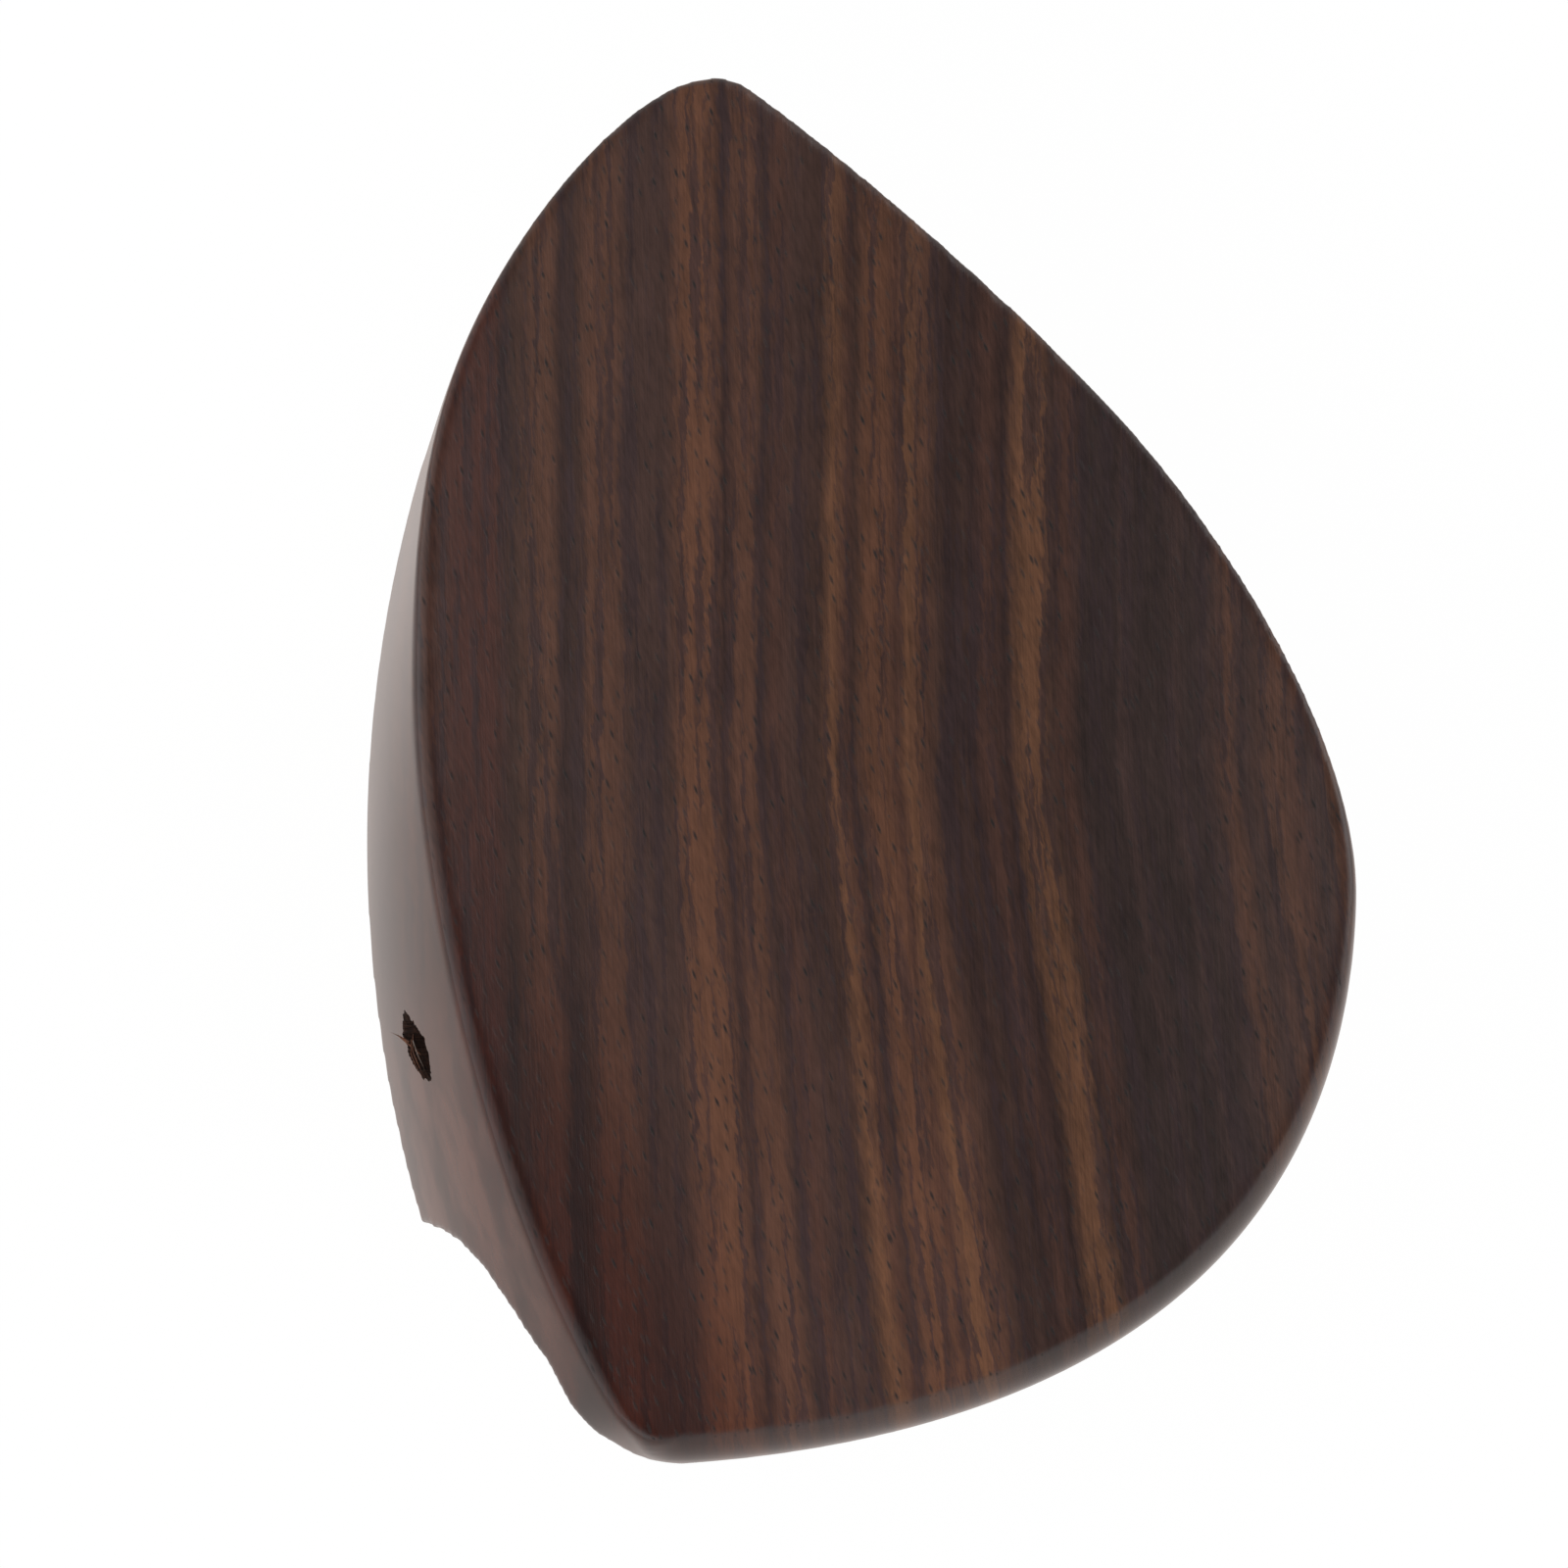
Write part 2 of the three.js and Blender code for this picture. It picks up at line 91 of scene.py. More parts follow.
# Places of the clamp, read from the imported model
LEG_X = (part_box("barrel_tip")[0][0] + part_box("barrel_tip")[1][0]) / 2 / MM
LEG_Y = (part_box("barrel_tip")[0][1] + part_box("barrel_tip")[1][1]) / 2 / MM
SCREW_Y = (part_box("bracket_screw_tip")[0][1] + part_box("bracket_screw_tip")[1][1]) / 2 / MM
JAW_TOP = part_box("lower_bracket")[1][2] / MM
JAW_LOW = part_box("lower_bracket")[0][2] / MM
BAR_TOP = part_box("upper_bracket")[1][2] / MM

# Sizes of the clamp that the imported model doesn't give
JAW_TRAVEL = 6.0
THREAD_PITCH = 0.7
THREAD_RADIUS = 2.0
THREAD_DEPTH = 0.42
LEG_REACH = 17.5
LEG_COLLAR = 1.5
LEG_HOLE = 1.8
SCREW_HOLE = 1.7
SCREW_LENGTH = 11
SCREW_PITCH = 1.1
BAR_LENGTH = 43
BAR_WIDTH = 7.4
SEAT_GAP = 0.3
KEY_HOLE_RISE = 2.2
JAW_CORNER = 3.4


def clamp01(value):
    return max(0.0, min(1.0, value))


def smooth(value, start, end):
    share = clamp01((value - start) / (end - start))
    return share * share * (3 - 2 * share)


def spread(count):
    """Even shares from 0 to 1."""
    return [i / (count - 1) for i in range(count)]


# Mesh building

def make_piece(name, points, faces):
    """A mesh object from points in millimetres."""
    mesh = bpy.data.meshes.new(name)
    mesh.from_pydata([(x * MM, y * MM, z * MM) for x, y, z in points], [], faces)
    mesh.update()
    piece = bpy.data.objects.new(name, mesh)
    bpy.context.collection.objects.link(piece)
    return piece


def settle(piece):
    """Bakes the modifiers of a piece into its mesh."""
    bpy.context.view_layer.update()
    seen = piece.evaluated_get(bpy.context.evaluated_depsgraph_get())
    mesh = bpy.data.meshes.new_from_object(seen)
    old = piece.data
    piece.modifiers.clear()
    piece.data = mesh
    mesh.name = old.name
    bpy.data.meshes.remove(old)


def modify(piece, kind, **settings):
    """Adds a modifier with its settings and bakes it."""
    change = piece.modifiers.new(kind.lower(), kind)
    for key, value in settings.items():
        setattr(change, key, value)
    settle(piece)


def cut(piece, *cutters):
    """Takes the cutters out of a piece; their own finish lines the cut."""
    for cutter in cutters:
        modify(piece, "BOOLEAN", operation="DIFFERENCE", solver="EXACT", object=cutter,
               material_mode="TRANSFER")
        bpy.data.objects.remove(cutter)


def shade(piece, degrees):
    """Smooth shading with crisp edges past an angle."""
    mesh = piece.data
    mesh.shade_smooth()
    mesh.set_sharp_from_angle(angle=math.radians(degrees))


def finish_piece(piece, material, slot, body, *nodes):
    """Gives a piece its material, its body and the nodes it stands for. The slot is not used."""
    if material.name not in piece.data.materials:
        if len(piece.data.materials):
            piece.data.materials[0] = material
        else:
            piece.data.materials.append(material)
    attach(piece, body)
    if nodes:
        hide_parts(*nodes)
    return piece


def loft(name, rings, first, last):
    """A closed skin over rings of points with a middle point at each end."""
    count = len(rings[0])
    points = [first] + [point for ring in rings for point in ring] + [last]
    faces = []
    for i in range(count):
        after = (i + 1) % count
        faces.append((0, 1 + after, 1 + i))
        for r in range(len(rings) - 1):
            near = 1 + r * count
            far = near + count
            faces.append((near + i, near + after, far + after, far + i))
        end = len(points) - 1 - count
        faces.append((len(points) - 1, end + i, end + after))
    return make_piece(name, points, faces)


def turned(name, profile, sides, x=0.0, y=0.0):
    """A round piece from (radius, height) pairs listed upwards, closed on its axis or on itself."""
    hollow = profile[0] == profile[-1]
    rows = profile[:-1] if hollow else profile
    points = []
    rings = []
    for radius, height in rows:
        if radius == 0:
            rings.append([len(points)] * sides)
            points.append((x, y, height))
            continue
        rings.append([len(points) + i for i in range(sides)])
        for i in range(sides):
            angle = 2 * math.pi * i / sides
            points.append((x + radius * math.cos(angle), y + radius * math.sin(angle), height))
    pairs = list(zip(rings, rings[1:]))
    if hollow:
        pairs.append((rings[-1], rings[0]))
    faces = []
    for low, high in pairs:
        for i in range(sides):
            after = (i + 1) % sides
            corners = [low[i], low[after], high[after], high[i]]
            face = [c for k, c in enumerate(corners) if c != corners[k - 1]]
            if len(set(face)) > 2:
                faces.append(face)
    return make_piece(name, points, faces)


def prism(name, outline, low, high):
    """A flat piece from an anticlockwise outline."""
    count = len(outline)
    points = [(x, y, low) for x, y in outline] + [(x, y, high) for x, y in outline]
    faces = [tuple(reversed(range(count))), tuple(range(count, 2 * count))]
    for i in range(count):
        after = (i + 1) % count
        faces.append((i, after, count + after, count + i))
    return make_piece(name, points, faces)


def arc(x, y, radius, start, end, steps):
    """Points along a round stretch, in degrees."""
    angles = [math.radians(start + (end - start) * share) for share in spread(steps)]
    return [(x + radius * math.cos(a), y + radius * math.sin(a)) for a in angles]


# Materials

def hex_colour(code):
    """A written sRGB colour as linear light."""
    parts = [int(code[i:i + 2], 16) / 255 for i in (1, 3, 5)]
    return [p / 12.92 if p <= 0.04045 else ((p + 0.055) / 1.055) ** 2.4 for p in parts] + [1.0]


def add(tree, kind, links=(), stops=(), **settings):
    """Adds a shader node; links give its inputs a value or another node's output."""
    made = tree.nodes.new(kind)
    for key, value in settings.items():
        setattr(made, key, value)
    if stops:
        ramp = made.color_ramp
        while len(ramp.elements) < len(stops):
            ramp.elements.new(0.5)
        for element, (place, code) in zip(ramp.elements, stops):
            element.position = place
            element.color = hex_colour(code)
    for key, value in dict(links).items():
        if isinstance(value, bpy.types.NodeSocket):
            tree.links.new(value, made.inputs[key])
        else:
            made.inputs[key].default_value = value
    return made


def new_material(name):
    """A material with an empty tree, and its place on the piece in millimetres."""
    material = bpy.data.materials.new(name)
    material.use_nodes = True
    tree = material.node_tree
    tree.nodes.clear()
    place = add(tree, "ShaderNodeTexCoord").outputs["Object"]
    millimetres = add(tree, "ShaderNodeVectorMath", {0: place, 1: (1000, 1000, 1000)}, operation="MULTIPLY")
    return material, tree, millimetres.outputs[0]


def give_finish(tree, bsdf):
    add(tree, "ShaderNodeOutputMaterial", {"Surface": bsdf.outputs[0]})


def maths(tree, operation, first, second=0.0):
    """One step of reckoning on shader values."""
    return add(tree, "ShaderNodeMath", {0: first, 1: second}, operation=operation).outputs[0]


def product(tree, first, *others):
    """Shader values multiplied together."""
    for other in others:
        first = maths(tree, "MULTIPLY", first, other)
    return first


def summed(tree, *terms):
    """The sum of shader values, each with its weight."""
    total = 0.0
    for value, weight in terms:
        links = {0: value, 1: weight, 2: total}
        total = add(tree, "ShaderNodeMath", links, operation="MULTIPLY_ADD").outputs[0]
    return total


def ranged(tree, value, low, high, start=0.0, end=1.0, curve="LINEAR"):
    """A value carried from one range to another, and held at its ends."""
    links = {"Value": value, "From Min": low, "From Max": high, "To Min": start, "To Max": end}
    return add(tree, "ShaderNodeMapRange", links, interpolation_type=curve).outputs[0]


def eased(tree, value, low, high, start, end):
    """A value carried smoothly from one range to another."""
    return ranged(tree, value, low, high, start, end, "SMOOTHSTEP")


def mixed(tree, share, under, over, blend="MIX"):
    """Two colours blended by the second one's share."""
    return add(tree, "ShaderNodeMixRGB", {0: share, 1: under, 2: over}, blend_type=blend).outputs[0]


def scaled(tree, colour, share):
    return add(tree, "ShaderNodeVectorMath", {0: colour, "Scale": share}, operation="SCALE").outputs[0]


def drawn_out(tree, place, size, slant=0.0):
    """The place measured in sizes in millimetres, slanted from the wood's own length by some degrees."""
    links = {"Vector": place, "Rotation": (0, 0, math.radians(slant)), "Scale": size}
    return add(tree, "ShaderNodeMapping", links, vector_type="TEXTURE").outputs[0]


def grain(tree, place, size, slant=0.0, detail=3.0, roughness=0.6):
    """Noise drawn out to a size in millimetres."""
    drawn = drawn_out(tree, place, size, slant)
    links = {"Vector": drawn, "Scale": 1.0, "Detail": detail, "Roughness": roughness}
    return add(tree, "ShaderNodeTexNoise", links).outputs["Fac"]


def bumped(tree, height, strength, millimetres):
    links = {"Height": height, "Strength": strength, "Distance": millimetres * MM}
    return add(tree, "ShaderNodeBump", links).outputs[0]


# The wood's tones, and where its growth layers cross the plate from the outer wall inboard. They were
# written beside the photograph, and the tones corrected against its average colours
TONES = {
    "deep": "#362421", "dark": "#3b2925", "umber": "#412c25", "plum": "#442f29",
    "walnut": "#4c3128", "brown": "#56382b", "light": "#5f3d2c", "tan": "#67442f",
    "dusk": "#372825", "smoke": "#412e2a", "ember": "#4d2c24",
}
LAYERS = [
    (-26, "umber"), (-23.5, "dark"), (-21.5, "walnut"), (-19.5, "plum"), (-18, "deep"), (-16.5, "umber"),
    (-15, "walnut"), (-12.6, "walnut"), (-10.4, "ember"), (-7.6, "ember"), (-6.2, "umber"), (-4.4, "brown"),
    (-2.9, "brown"), (-2.0, "deep"), (-0.8, "umber"), (0.2, "brown"), (2.0, "brown"), (3.6, "plum"),
    (6.2, "plum"), (7.6, "light"), (9.8, "light"), (10.8, "deep"), (12.0, "brown"), (13.2, "brown"),
    (14.1, "dark"), (15.1, "walnut"), (16.6, "plum"), (18.7, "umber"), (19.7, "tan"), (20.8, "walnut"),
    (21.4, "umber"), (22.4, "light"), (23.9, "light"), (24.8, "walnut"), (25.7, "tan"), (27.1, "brown"),
    (28.4, "umber"), (29.2, "deep"), (30.2, "umber"), (31.0, "deep"), (32.2, "walnut"), (33.6, "deep"),
    (34.9, "tan"), (36.3, "tan"), (37.3, "umber"), (38.5, "walnut"), (40.0, "dusk"), (42.6, "dusk"),
    (43.0, "smoke"), (44.4, "dusk"), (46.4, "dusk"), (47.4, "smoke"), (48.6, "dusk"), (50.2, "smoke"),
    (51.8, "brown"), (53.0, "smoke"), (55.4, "brown"), (57.0, "walnut"), (58.4, "smoke"), (60.0, "brown"),
    (63.0, "walnut"),
]
RAMP_LIMIT = 30


def growth_layer(tree, mm, x, y, z):
    """How far inboard a place lies among the growth layers. They lean a little from upright,
    fan out towards the broad end and run ragged by a millimetre."""
    beyond = maths(tree, "MAXIMUM", maths(tree, "SUBTRACT", 6.0, y), 0.0)
    spread_out = product(tree, beyond, ranged(tree, x, -5, 38, -0.02, -0.14))
    drift = grain(tree, mm, (9, 50, 40), detail=2.0)
    fringe = grain(tree, mm, (0.55, 2.8, 9), slant=19)
    return summed(tree, (x, 1.0), (z, 0.14), (spread_out, 1.0), (drift, 1.5), (fringe, 1.3), (1.0, -4.5))


def layer_tone(tree, layer):
    """The tone of a growth layer. One colour ramp can't hold them all, so each ramp takes its share."""
    colour = None
    for first in range(0, len(LAYERS) - 1, RAMP_LIMIT):
        part = LAYERS[first:first + RAMP_LIMIT + 1]
        low, high = part[0][0], part[-1][0]
        stops = [((x - low) / (high - low), TONES[tone]) for x, tone in part]
        ramp = add(tree, "ShaderNodeValToRGB", {0: ranged(tree, layer, low, high)}, stops=stops).outputs[0]
        if colour:
            colour = mixed(tree, maths(tree, "GREATER_THAN", layer, low), colour, ramp)
        else:
            colour = ramp
    return colour


def pale_and_lit_places(tree, x, y):
    """How much lighter the colour is made: a painted pool of light in the middle of the broad end, and paler
    towards that end's very edge and by the outer rim.
    """
    inboard = eased(tree, x, -4, 14, 0.0, 1.0)
    outboard = eased(tree, x, 30, 40, 1.0, 0.0)
    # Painted light: the middle of the broad end is lit up as if by a lamp from below
    middle = product(tree, inboard, outboard, eased(tree, y, -46, 14, 0.42, 0.06))
    edge = eased(tree, y, -46, -18, 0.07, 0.0)
    outer = product(tree, eased(tree, x, -9, -2, 0.0, 0.17), eased(tree, x, 12, 20, 1.0, 0.0))
    return summed(tree, (middle, 1.0), (edge, 1.0), (outer, 1.0))


def blotchy_wall(tree, mm, y, inward, facing):
    """Where the outer wall below the hole is cut across paler, blotchy wood."""
    blotches = eased(tree, grain(tree, mm, (9, 12, 5), slant=20), 0.35, 0.6, 0.06, 0.44)
    steep = eased(tree, facing, 0.35, 0.65, 1.0, 0.0)
    outer_wall = eased(tree, inward, 2, 9, 1.0, 0.0)
    past_corner = eased(tree, y, -47, -36, 0.0, 1.0)
    below_hole = eased(tree, y, -24, -8, 1.0, 0.0)
    return product(tree, blotches, steep, outer_wall, past_corner, below_hole)


def pore_dashes(tree, mm, y, colour):
    """Pores about 0.25 mm across and 1 mm long, open mostly in the paler layers, and how full each one is."""
    cells = drawn_out(tree, mm, (0.46, 1.7, 0.46), 23)
    pore = add(tree, "ShaderNodeTexVoronoi", {"Vector": cells, "Scale": 1.0})
    dash = eased(tree, pore.outputs["Distance"], 0.08, 0.4, 1.0, 0.0)
    chance, depth = add(tree, "ShaderNodeSeparateColor", {0: pore.outputs["Color"]}).outputs[:2]
    warmth = add(tree, "ShaderNodeSeparateColor", {0: colour}).outputs[0]
    share = ranged(tree, warmth, 0.035, 0.095, 0.2, 0.6)
    crowd = maths(tree, "ADD", share, eased(tree, y, -48, 5, 0.25, 0.0))
    dashes = product(tree, dash, maths(tree, "LESS_THAN", chance, crowd))
    return dashes, ranged(tree, depth, 0, 1, 0.4, 0.95)


def oiled_rosewood():
    """Rosewood, carved, sanded and oiled: dark layers that run lengthwise, feathered where they meet,
    and open pores that read as short dark slanting dashes under a thin satin film."""
    material, tree, mm = new_material("rosewood_carved_and_oiled")
    x, y, z = add(tree, "ShaderNodeSeparateXYZ", {0: mm}).outputs
    normal = add(tree, "ShaderNodeNewGeometry").outputs["Normal"]
    _, endwise, facing = add(tree, "ShaderNodeSeparateXYZ", {0: normal}).outputs
    layer = growth_layer(tree, mm, x, y, z)
    sheet = add(tree, "ShaderNodeCombineXYZ", {0: layer, 1: y, 2: z}).outputs[0]
    # Within a layer: greyer veins, clouds of 3 mm, fine streaks, slanting flames and hair-fine fibres
    veins = eased(tree, grain(tree, sheet, (0.7, 22, 30)), 0.38, 0.53, 0.7, 0.0)
    veined = mixed(tree, veins, layer_tone(tree, layer), hex_colour("#362729"))
    clouds = grain(tree, sheet, (2.4, 8, 12))
    streaks = grain(tree, sheet, (0.3, 26, 30))
    flames = grain(tree, mm, (0.34, 2.0, 7), slant=22)
    fibres = grain(tree, mm, (0.15, 6, 5), slant=3, detail=2.0)
    patchy = summed(tree, (clouds, 1.0), (streaks, 0.6), (flames, 1.25), (fibres, 1.1))
    depth = ranged(tree, patchy, 1.45, 2.5, 0.64, 1.5)
    # Patches of deeper and lighter wood, plus paler places and a painted pool of light on the broad end
    shaded = scaled(tree, veined, summed(tree, (depth, 1.0), (pale_and_lit_places(tree, x, y), 1.0)))
    # Painted shade: the colour is darkened towards the corner by the outer rim, where the dish curls up to
    # its lip
    inward = summed(tree, (x, 0.936), (y, 0.353), (1.0, 13.3))
    painted_corner_shade = product(tree, eased(tree, inward, 0, 16, 1, 0), eased(tree, y, -38, 22, 1, 0))
    # The colour below multiplies in that painted shade
    corner_shaded = mixed(tree, painted_corner_shade, shaded, hex_colour("#b88277"), "MULTIPLY")
    walled = mixed(tree, blotchy_wall(tree, mm, y, inward, facing), corner_shaded, hex_colour("#84594c"))
    # Wood cut across its grain, as at the broad end's rim, soaks up more oil and turns darker
    soaked = eased(tree, maths(tree, "ABSOLUTE", endwise), 0.2, 0.6, 1.0, 0.6)
    oiled = scaled(tree, walled, soaked)
    # The pores are polished shut on the sides
    on_top = eased(tree, facing, 0.6, 0.85, 0.0, 1.0)
    dashes, fill = pore_dashes(tree, mm, y, veined)
    pores = product(tree, dashes, on_top)
    pored = mixed(tree, product(tree, pores, fill), oiled, hex_colour("#1a1110"))
    height = summed(tree, (pores, -0.5), (fibres, 0.6), (flames, 0.6))
    bump = bumped(tree, height, product(tree, on_top, 0.35), 0.05)
    # The sides are buffed harder than the top
    gloss = summed(tree, (eased(tree, facing, 0.45, 0.9, 0.22, 0.34), 1.0), (pores, 0.35))
    give_finish(tree, add(tree, "ShaderNodeBsdfPrincipled", {
        "Base Color": pored, "Roughness": gloss, "IOR": 1.5, "Normal": bump}))
    return material


def torn_rosewood(name, light, dark):
    """Rosewood torn across by a drill: matt, with the fibres standing as light and dark lines."""
    material, tree, mm = new_material(name)
    lines = grain(tree, mm, (0.25, 2.2, 0.25), slant=15, detail=4.0, roughness=0.7)
    colour = add(tree, "ShaderNodeValToRGB", {0: lines}, stops=[(0.36, dark), (0.64, light)]).outputs[0]
    bump = bumped(tree, lines, 0.8, 0.2)
    give_finish(tree, add(tree, "ShaderNodeBsdfPrincipled", {
        "Base Color": colour, "Roughness": 0.85, "IOR": 1.5, "Normal": bump}))
    return material


def pressed_cork():
    """Granulated cork, pressed into sheet and cut: matt pale granules of about 0.7 mm with dark specks."""
    material, tree, mm = new_material("cork_pressed_and_cut")
    wander = add(tree, "ShaderNodeTexNoise", {"Vector": mm, "Scale": 2.0, "Detail": 2.0}).outputs["Color"]
    links = {0: wander, 1: (0.6, 0.6, 0.6), 2: mm}
    bent = add(tree, "ShaderNodeVectorMath", links, operation="MULTIPLY_ADD").outputs[0]
    granules = add(tree, "ShaderNodeTexVoronoi", {"Vector": bent, "Scale": 1.5, "Randomness": 1.0})
    tone = add(tree, "ShaderNodeSeparateColor", {0: granules.outputs["Color"]}).outputs[0]
    granule = add(tree, "ShaderNodeValToRGB", {0: tone}, stops=[
        (0.0, "#a3764b"), (0.3, "#b88b5d"), (0.75, "#c99f6f"), (1.0, "#d4ae7f")]).outputs[0]
    links = {"Vector": mm, "Scale": 2.2, "Detail": 4.0, "Roughness": 0.7}
    fine = add(tree, "ShaderNodeTexNoise", links).outputs["Fac"]
    specks = ranged(tree, fine, 0.58, 0.66, 0.0, 0.7)
    colour = mixed(tree, specks, granule, hex_colour("#5b3a22"))
    bump = bumped(tree, fine, 0.5, 0.15)
    give_finish(tree, add(tree, "ShaderNodeBsdfPrincipled", {
        "Base Color": colour, "Roughness": 0.9, "IOR": 1.45, "Normal": bump}))
    return material


def plated_metal(name, clean, dull, roughness, marks):
    """Steel, turned or pressed and then plated: a warm mirror dulled by fine tool marks and by handling.
    The real marks are finer than a tenth of this, which the render could not show."""
    material, tree, mm = new_material(name)
    lines = grain(tree, mm, marks, detail=2.0, roughness=0.5)
    links = {"Vector": mm, "Scale": 0.22, "Detail": 3.0, "Roughness": 0.6}
    cloud = add(tree, "ShaderNodeTexNoise", links).outputs["Fac"]
    colour = add(tree, "ShaderNodeValToRGB", {0: cloud}, stops=[(0.35, dull), (0.6, clean)]).outputs[0]
    sheen = ranged(tree, cloud, 0.3, 0.7, roughness + 0.05, roughness - 0.03)
    bump = bumped(tree, lines, 0.12, 0.04)
    give_finish(tree, add(tree, "ShaderNodeBsdfPrincipled", {
        "Base Color": colour, "Metallic": 1.0, "Roughness": sheen, "Normal": bump}))
    return material


rosewood = oiled_rosewood()
raw_wood = torn_rosewood("rosewood_torn_by_the_drill", "#4a2d20", "#1d120e")
torn_fibre = torn_rosewood("rosewood_torn_fibre", "#7a4a30", "#452819")
pale_fibre = torn_rosewood("rosewood_torn_pale_fibre", "#a89a90", "#7d6a60")
cork = pressed_cork()
nickel = plated_metal("nickel_plate_on_turned_steel", "#d9d4c9", "#d1cbc0", 0.17, (30, 30, 0.16))
zinc = plated_metal("zinc_plate_on_steel_screw", "#c3c4c4", "#a9a9a5", 0.3, (0.3, 2.5, 0.3))


# Plate and foot

def bezier(a, b, c, d, share):
    rest = 1 - share
    weights = (rest ** 3, 3 * rest ** 2 * share, 3 * rest * share ** 2, share ** 3)
    return tuple(sum(w * p[k] for w, p in zip(weights, (a, b, c, d))) for k in range(2))


def plate_outline(count):
    """The plate's outline from above, evenly spaced, and where its belly and corner lie on it.
    Its points were fitted to the photograph's outline and rounded, and a few were moved one by one."""
    def at(across, along):
        return (PLATE_LEFT + across * PLATE_WIDTH, along * PLATE_LENGTH - PLATE_REACH_BELOW)

    def soft(a, b, c):
        first = tuple(a[k] + (b[k] - a[k]) * 2 / 3 for k in range(2))
        second = tuple(c[k] + (b[k] - c[k]) * 2 / 3 for k in range(2))
        return (a, first, second, c)

    tip, belly, below = at(0.3478, 0.9965), at(1, 0.4131), at(0.2912, 0.0003)
    corner, side, shoulder = at(0.24, 0.0115), at(0, 0.5655), at(0.2764, 0.9955)
    inboard, outboard = at(0.7631, 0.7522), at(0.0679, 0.8276)
    stretches = [
        (tip, at(0.4588, 0.9473), at(0.6428, 0.846), inboard),
        (inboard, at(0.8934, 0.6506), at(0.998, 0.5097), belly),
        (belly, at(1, 0.1105), at(0.6395, 0.014), below),
        soft(below, at(0.2555, 0.0), corner),
        (corner, at(0.1032, 0.1235), at(0, 0.3991), side),
        (side, at(0, 0.6597), at(0.0072, 0.7431), outboard),
        (outboard, at(0.1367, 0.9236), at(0.225, 0.98), shoulder),
        soft(shoulder, at(0.318, 1.008), tip),
    ]
    steps = 400
    fine = [bezier(*stretch, i / steps) for stretch in stretches for i in range(steps)] + [tip]
    run = [0.0]
    for a, b in zip(fine, fine[1:]):
        run.append(run[-1] + math.dist(a, b))
    whole = run[-1]
    points = []
    k = 0
    for i in range(count):
        goal = whole * i / count
        while run[k + 1] < goal:
            k += 1
        share = (goal - run[k]) / (run[k + 1] - run[k])
        points.append(tuple(fine[k][c] + (fine[k + 1][c] - fine[k][c]) * share for c in range(2)))
    return points, whole, run[2 * steps] / whole, run[3 * steps] / whole


def bowl_height(x, y, bowl):
    across = (x - DISH_CENTRE[0]) / (PLATE_WIDTH / 2)
    along = (y - DISH_CENTRE[1]) / (PLATE_LENGTH / 2)
    rise = bowl["across"] * across ** 2 + bowl["along"] * along ** 2
    return bowl["floor"] + bowl["fall"] * (DISH_CENTRE[0] - x) + rise


def wall_swing(x, y, nx, ny, foot):
    """How far the wall stands out from the rim at the height of the foot's lower face."""
    from_x = x - ARC_CENTRE
    along = from_x * nx + y * ny
    inside = ARC_RADIUS ** 2 - (from_x ** 2 + y ** 2 - along ** 2)
    to_arc = math.sqrt(inside) - along if inside > 0 else 0
    return foot * to_arc - (1 - foot) * PLATE_UNDERCUT


def carved_block(stations=640):
    """The block before its underside is carved: dished top, rim rolled over a crease, and swelling wall."""
    outline, whole, belly, corner = plate_outline(stations)
    turn = RIM_SOFT / whole
    reach = max(1, round(stations * turn / 2))
    dish, rounds, wall = spread(37)[1:], spread(13)[1:], spread(25)[1:]
    low = FOOT_BOTTOM - CARVING_STOCK
    rings = [[] for _ in range(len(dish) + len(rounds) + len(wall))]
    for i, (x, y) in enumerate(outline):
        share = i / stations
        ahead, behind = outline[(i + reach) % stations], outline[i - reach]
        length = math.dist(ahead, behind)
        nx, ny = (behind[1] - ahead[1]) / length, (ahead[0] - behind[0]) / length
        soft = smooth(share, belly * RIM_SOFT_RUN[0], belly * RIM_SOFT_RUN[1])
        soft *= 1 - smooth(share, corner, corner + 3 * turn)
        past_corner = smooth(share, corner + turn, corner + 6 * turn)
        widened = RIM_EASED * past_corner * (1 - smooth(y, *RIM_EASED_FADE))
        width = RIM_CRISP + (RIM_SOFT - RIM_CRISP) * soft + widened
        start = RIM_CREASE * soft
        rim_x, rim_y = x - nx * width, y - ny * width
        top = bowl_height(rim_x, rim_y, DISH)
        foot = smooth(share, corner - turn, corner + WALL_SWING_RUN / whole) * (1 - smooth(y, *WALL_FADE))
        outward = wall_swing(x, y, nx, ny, foot)
        bulge = min(max(outward, 0.0), WALL_BULGE * foot * (1 - smooth(y, *WALL_BULGE_FADE)))
        lean = max(0.0, outward + bulge) / (top - low)
        end = math.pi / 2 - math.atan(lean)
        across, down = math.sin(end) - math.sin(start), math.cos(start) - math.cos(end)
        drop = width * down / across * (1 - soft) + RIM_DROP * soft
        wall_top = top - drop
        foot_part = (wall_top - FOOT_BOTTOM) / (wall_top - low)
        swing = outward / foot_part
        column = []
        for part in dish:
            px = DISH_CENTRE[0] + (rim_x - DISH_CENTRE[0]) * part
            py = DISH_CENTRE[1] + (rim_y - DISH_CENTRE[1]) * part
            column.append((px, py, bowl_height(px, py, DISH)))
        for part in rounds:
            angle = start + (end - start) * part
            out = width * (math.sin(angle) - math.sin(start)) / across
            fall = drop * (math.cos(start) - math.cos(angle)) / down
            column.append((rim_x + nx * out, rim_y + ny * out, top - fall))
        for part in wall:
            out = swing * part + bulge * part * (foot_part - part)
            column.append((x + nx * out, y + ny * out, wall_top + (low - wall_top) * part))
        for ring, point in zip(rings, column):
            ring.append(point)
    middle = (*DISH_CENTRE, bowl_height(*DISH_CENTRE, DISH))
    return loft("plate_and_foot_wood", rings, middle, (*DISH_CENTRE, low))


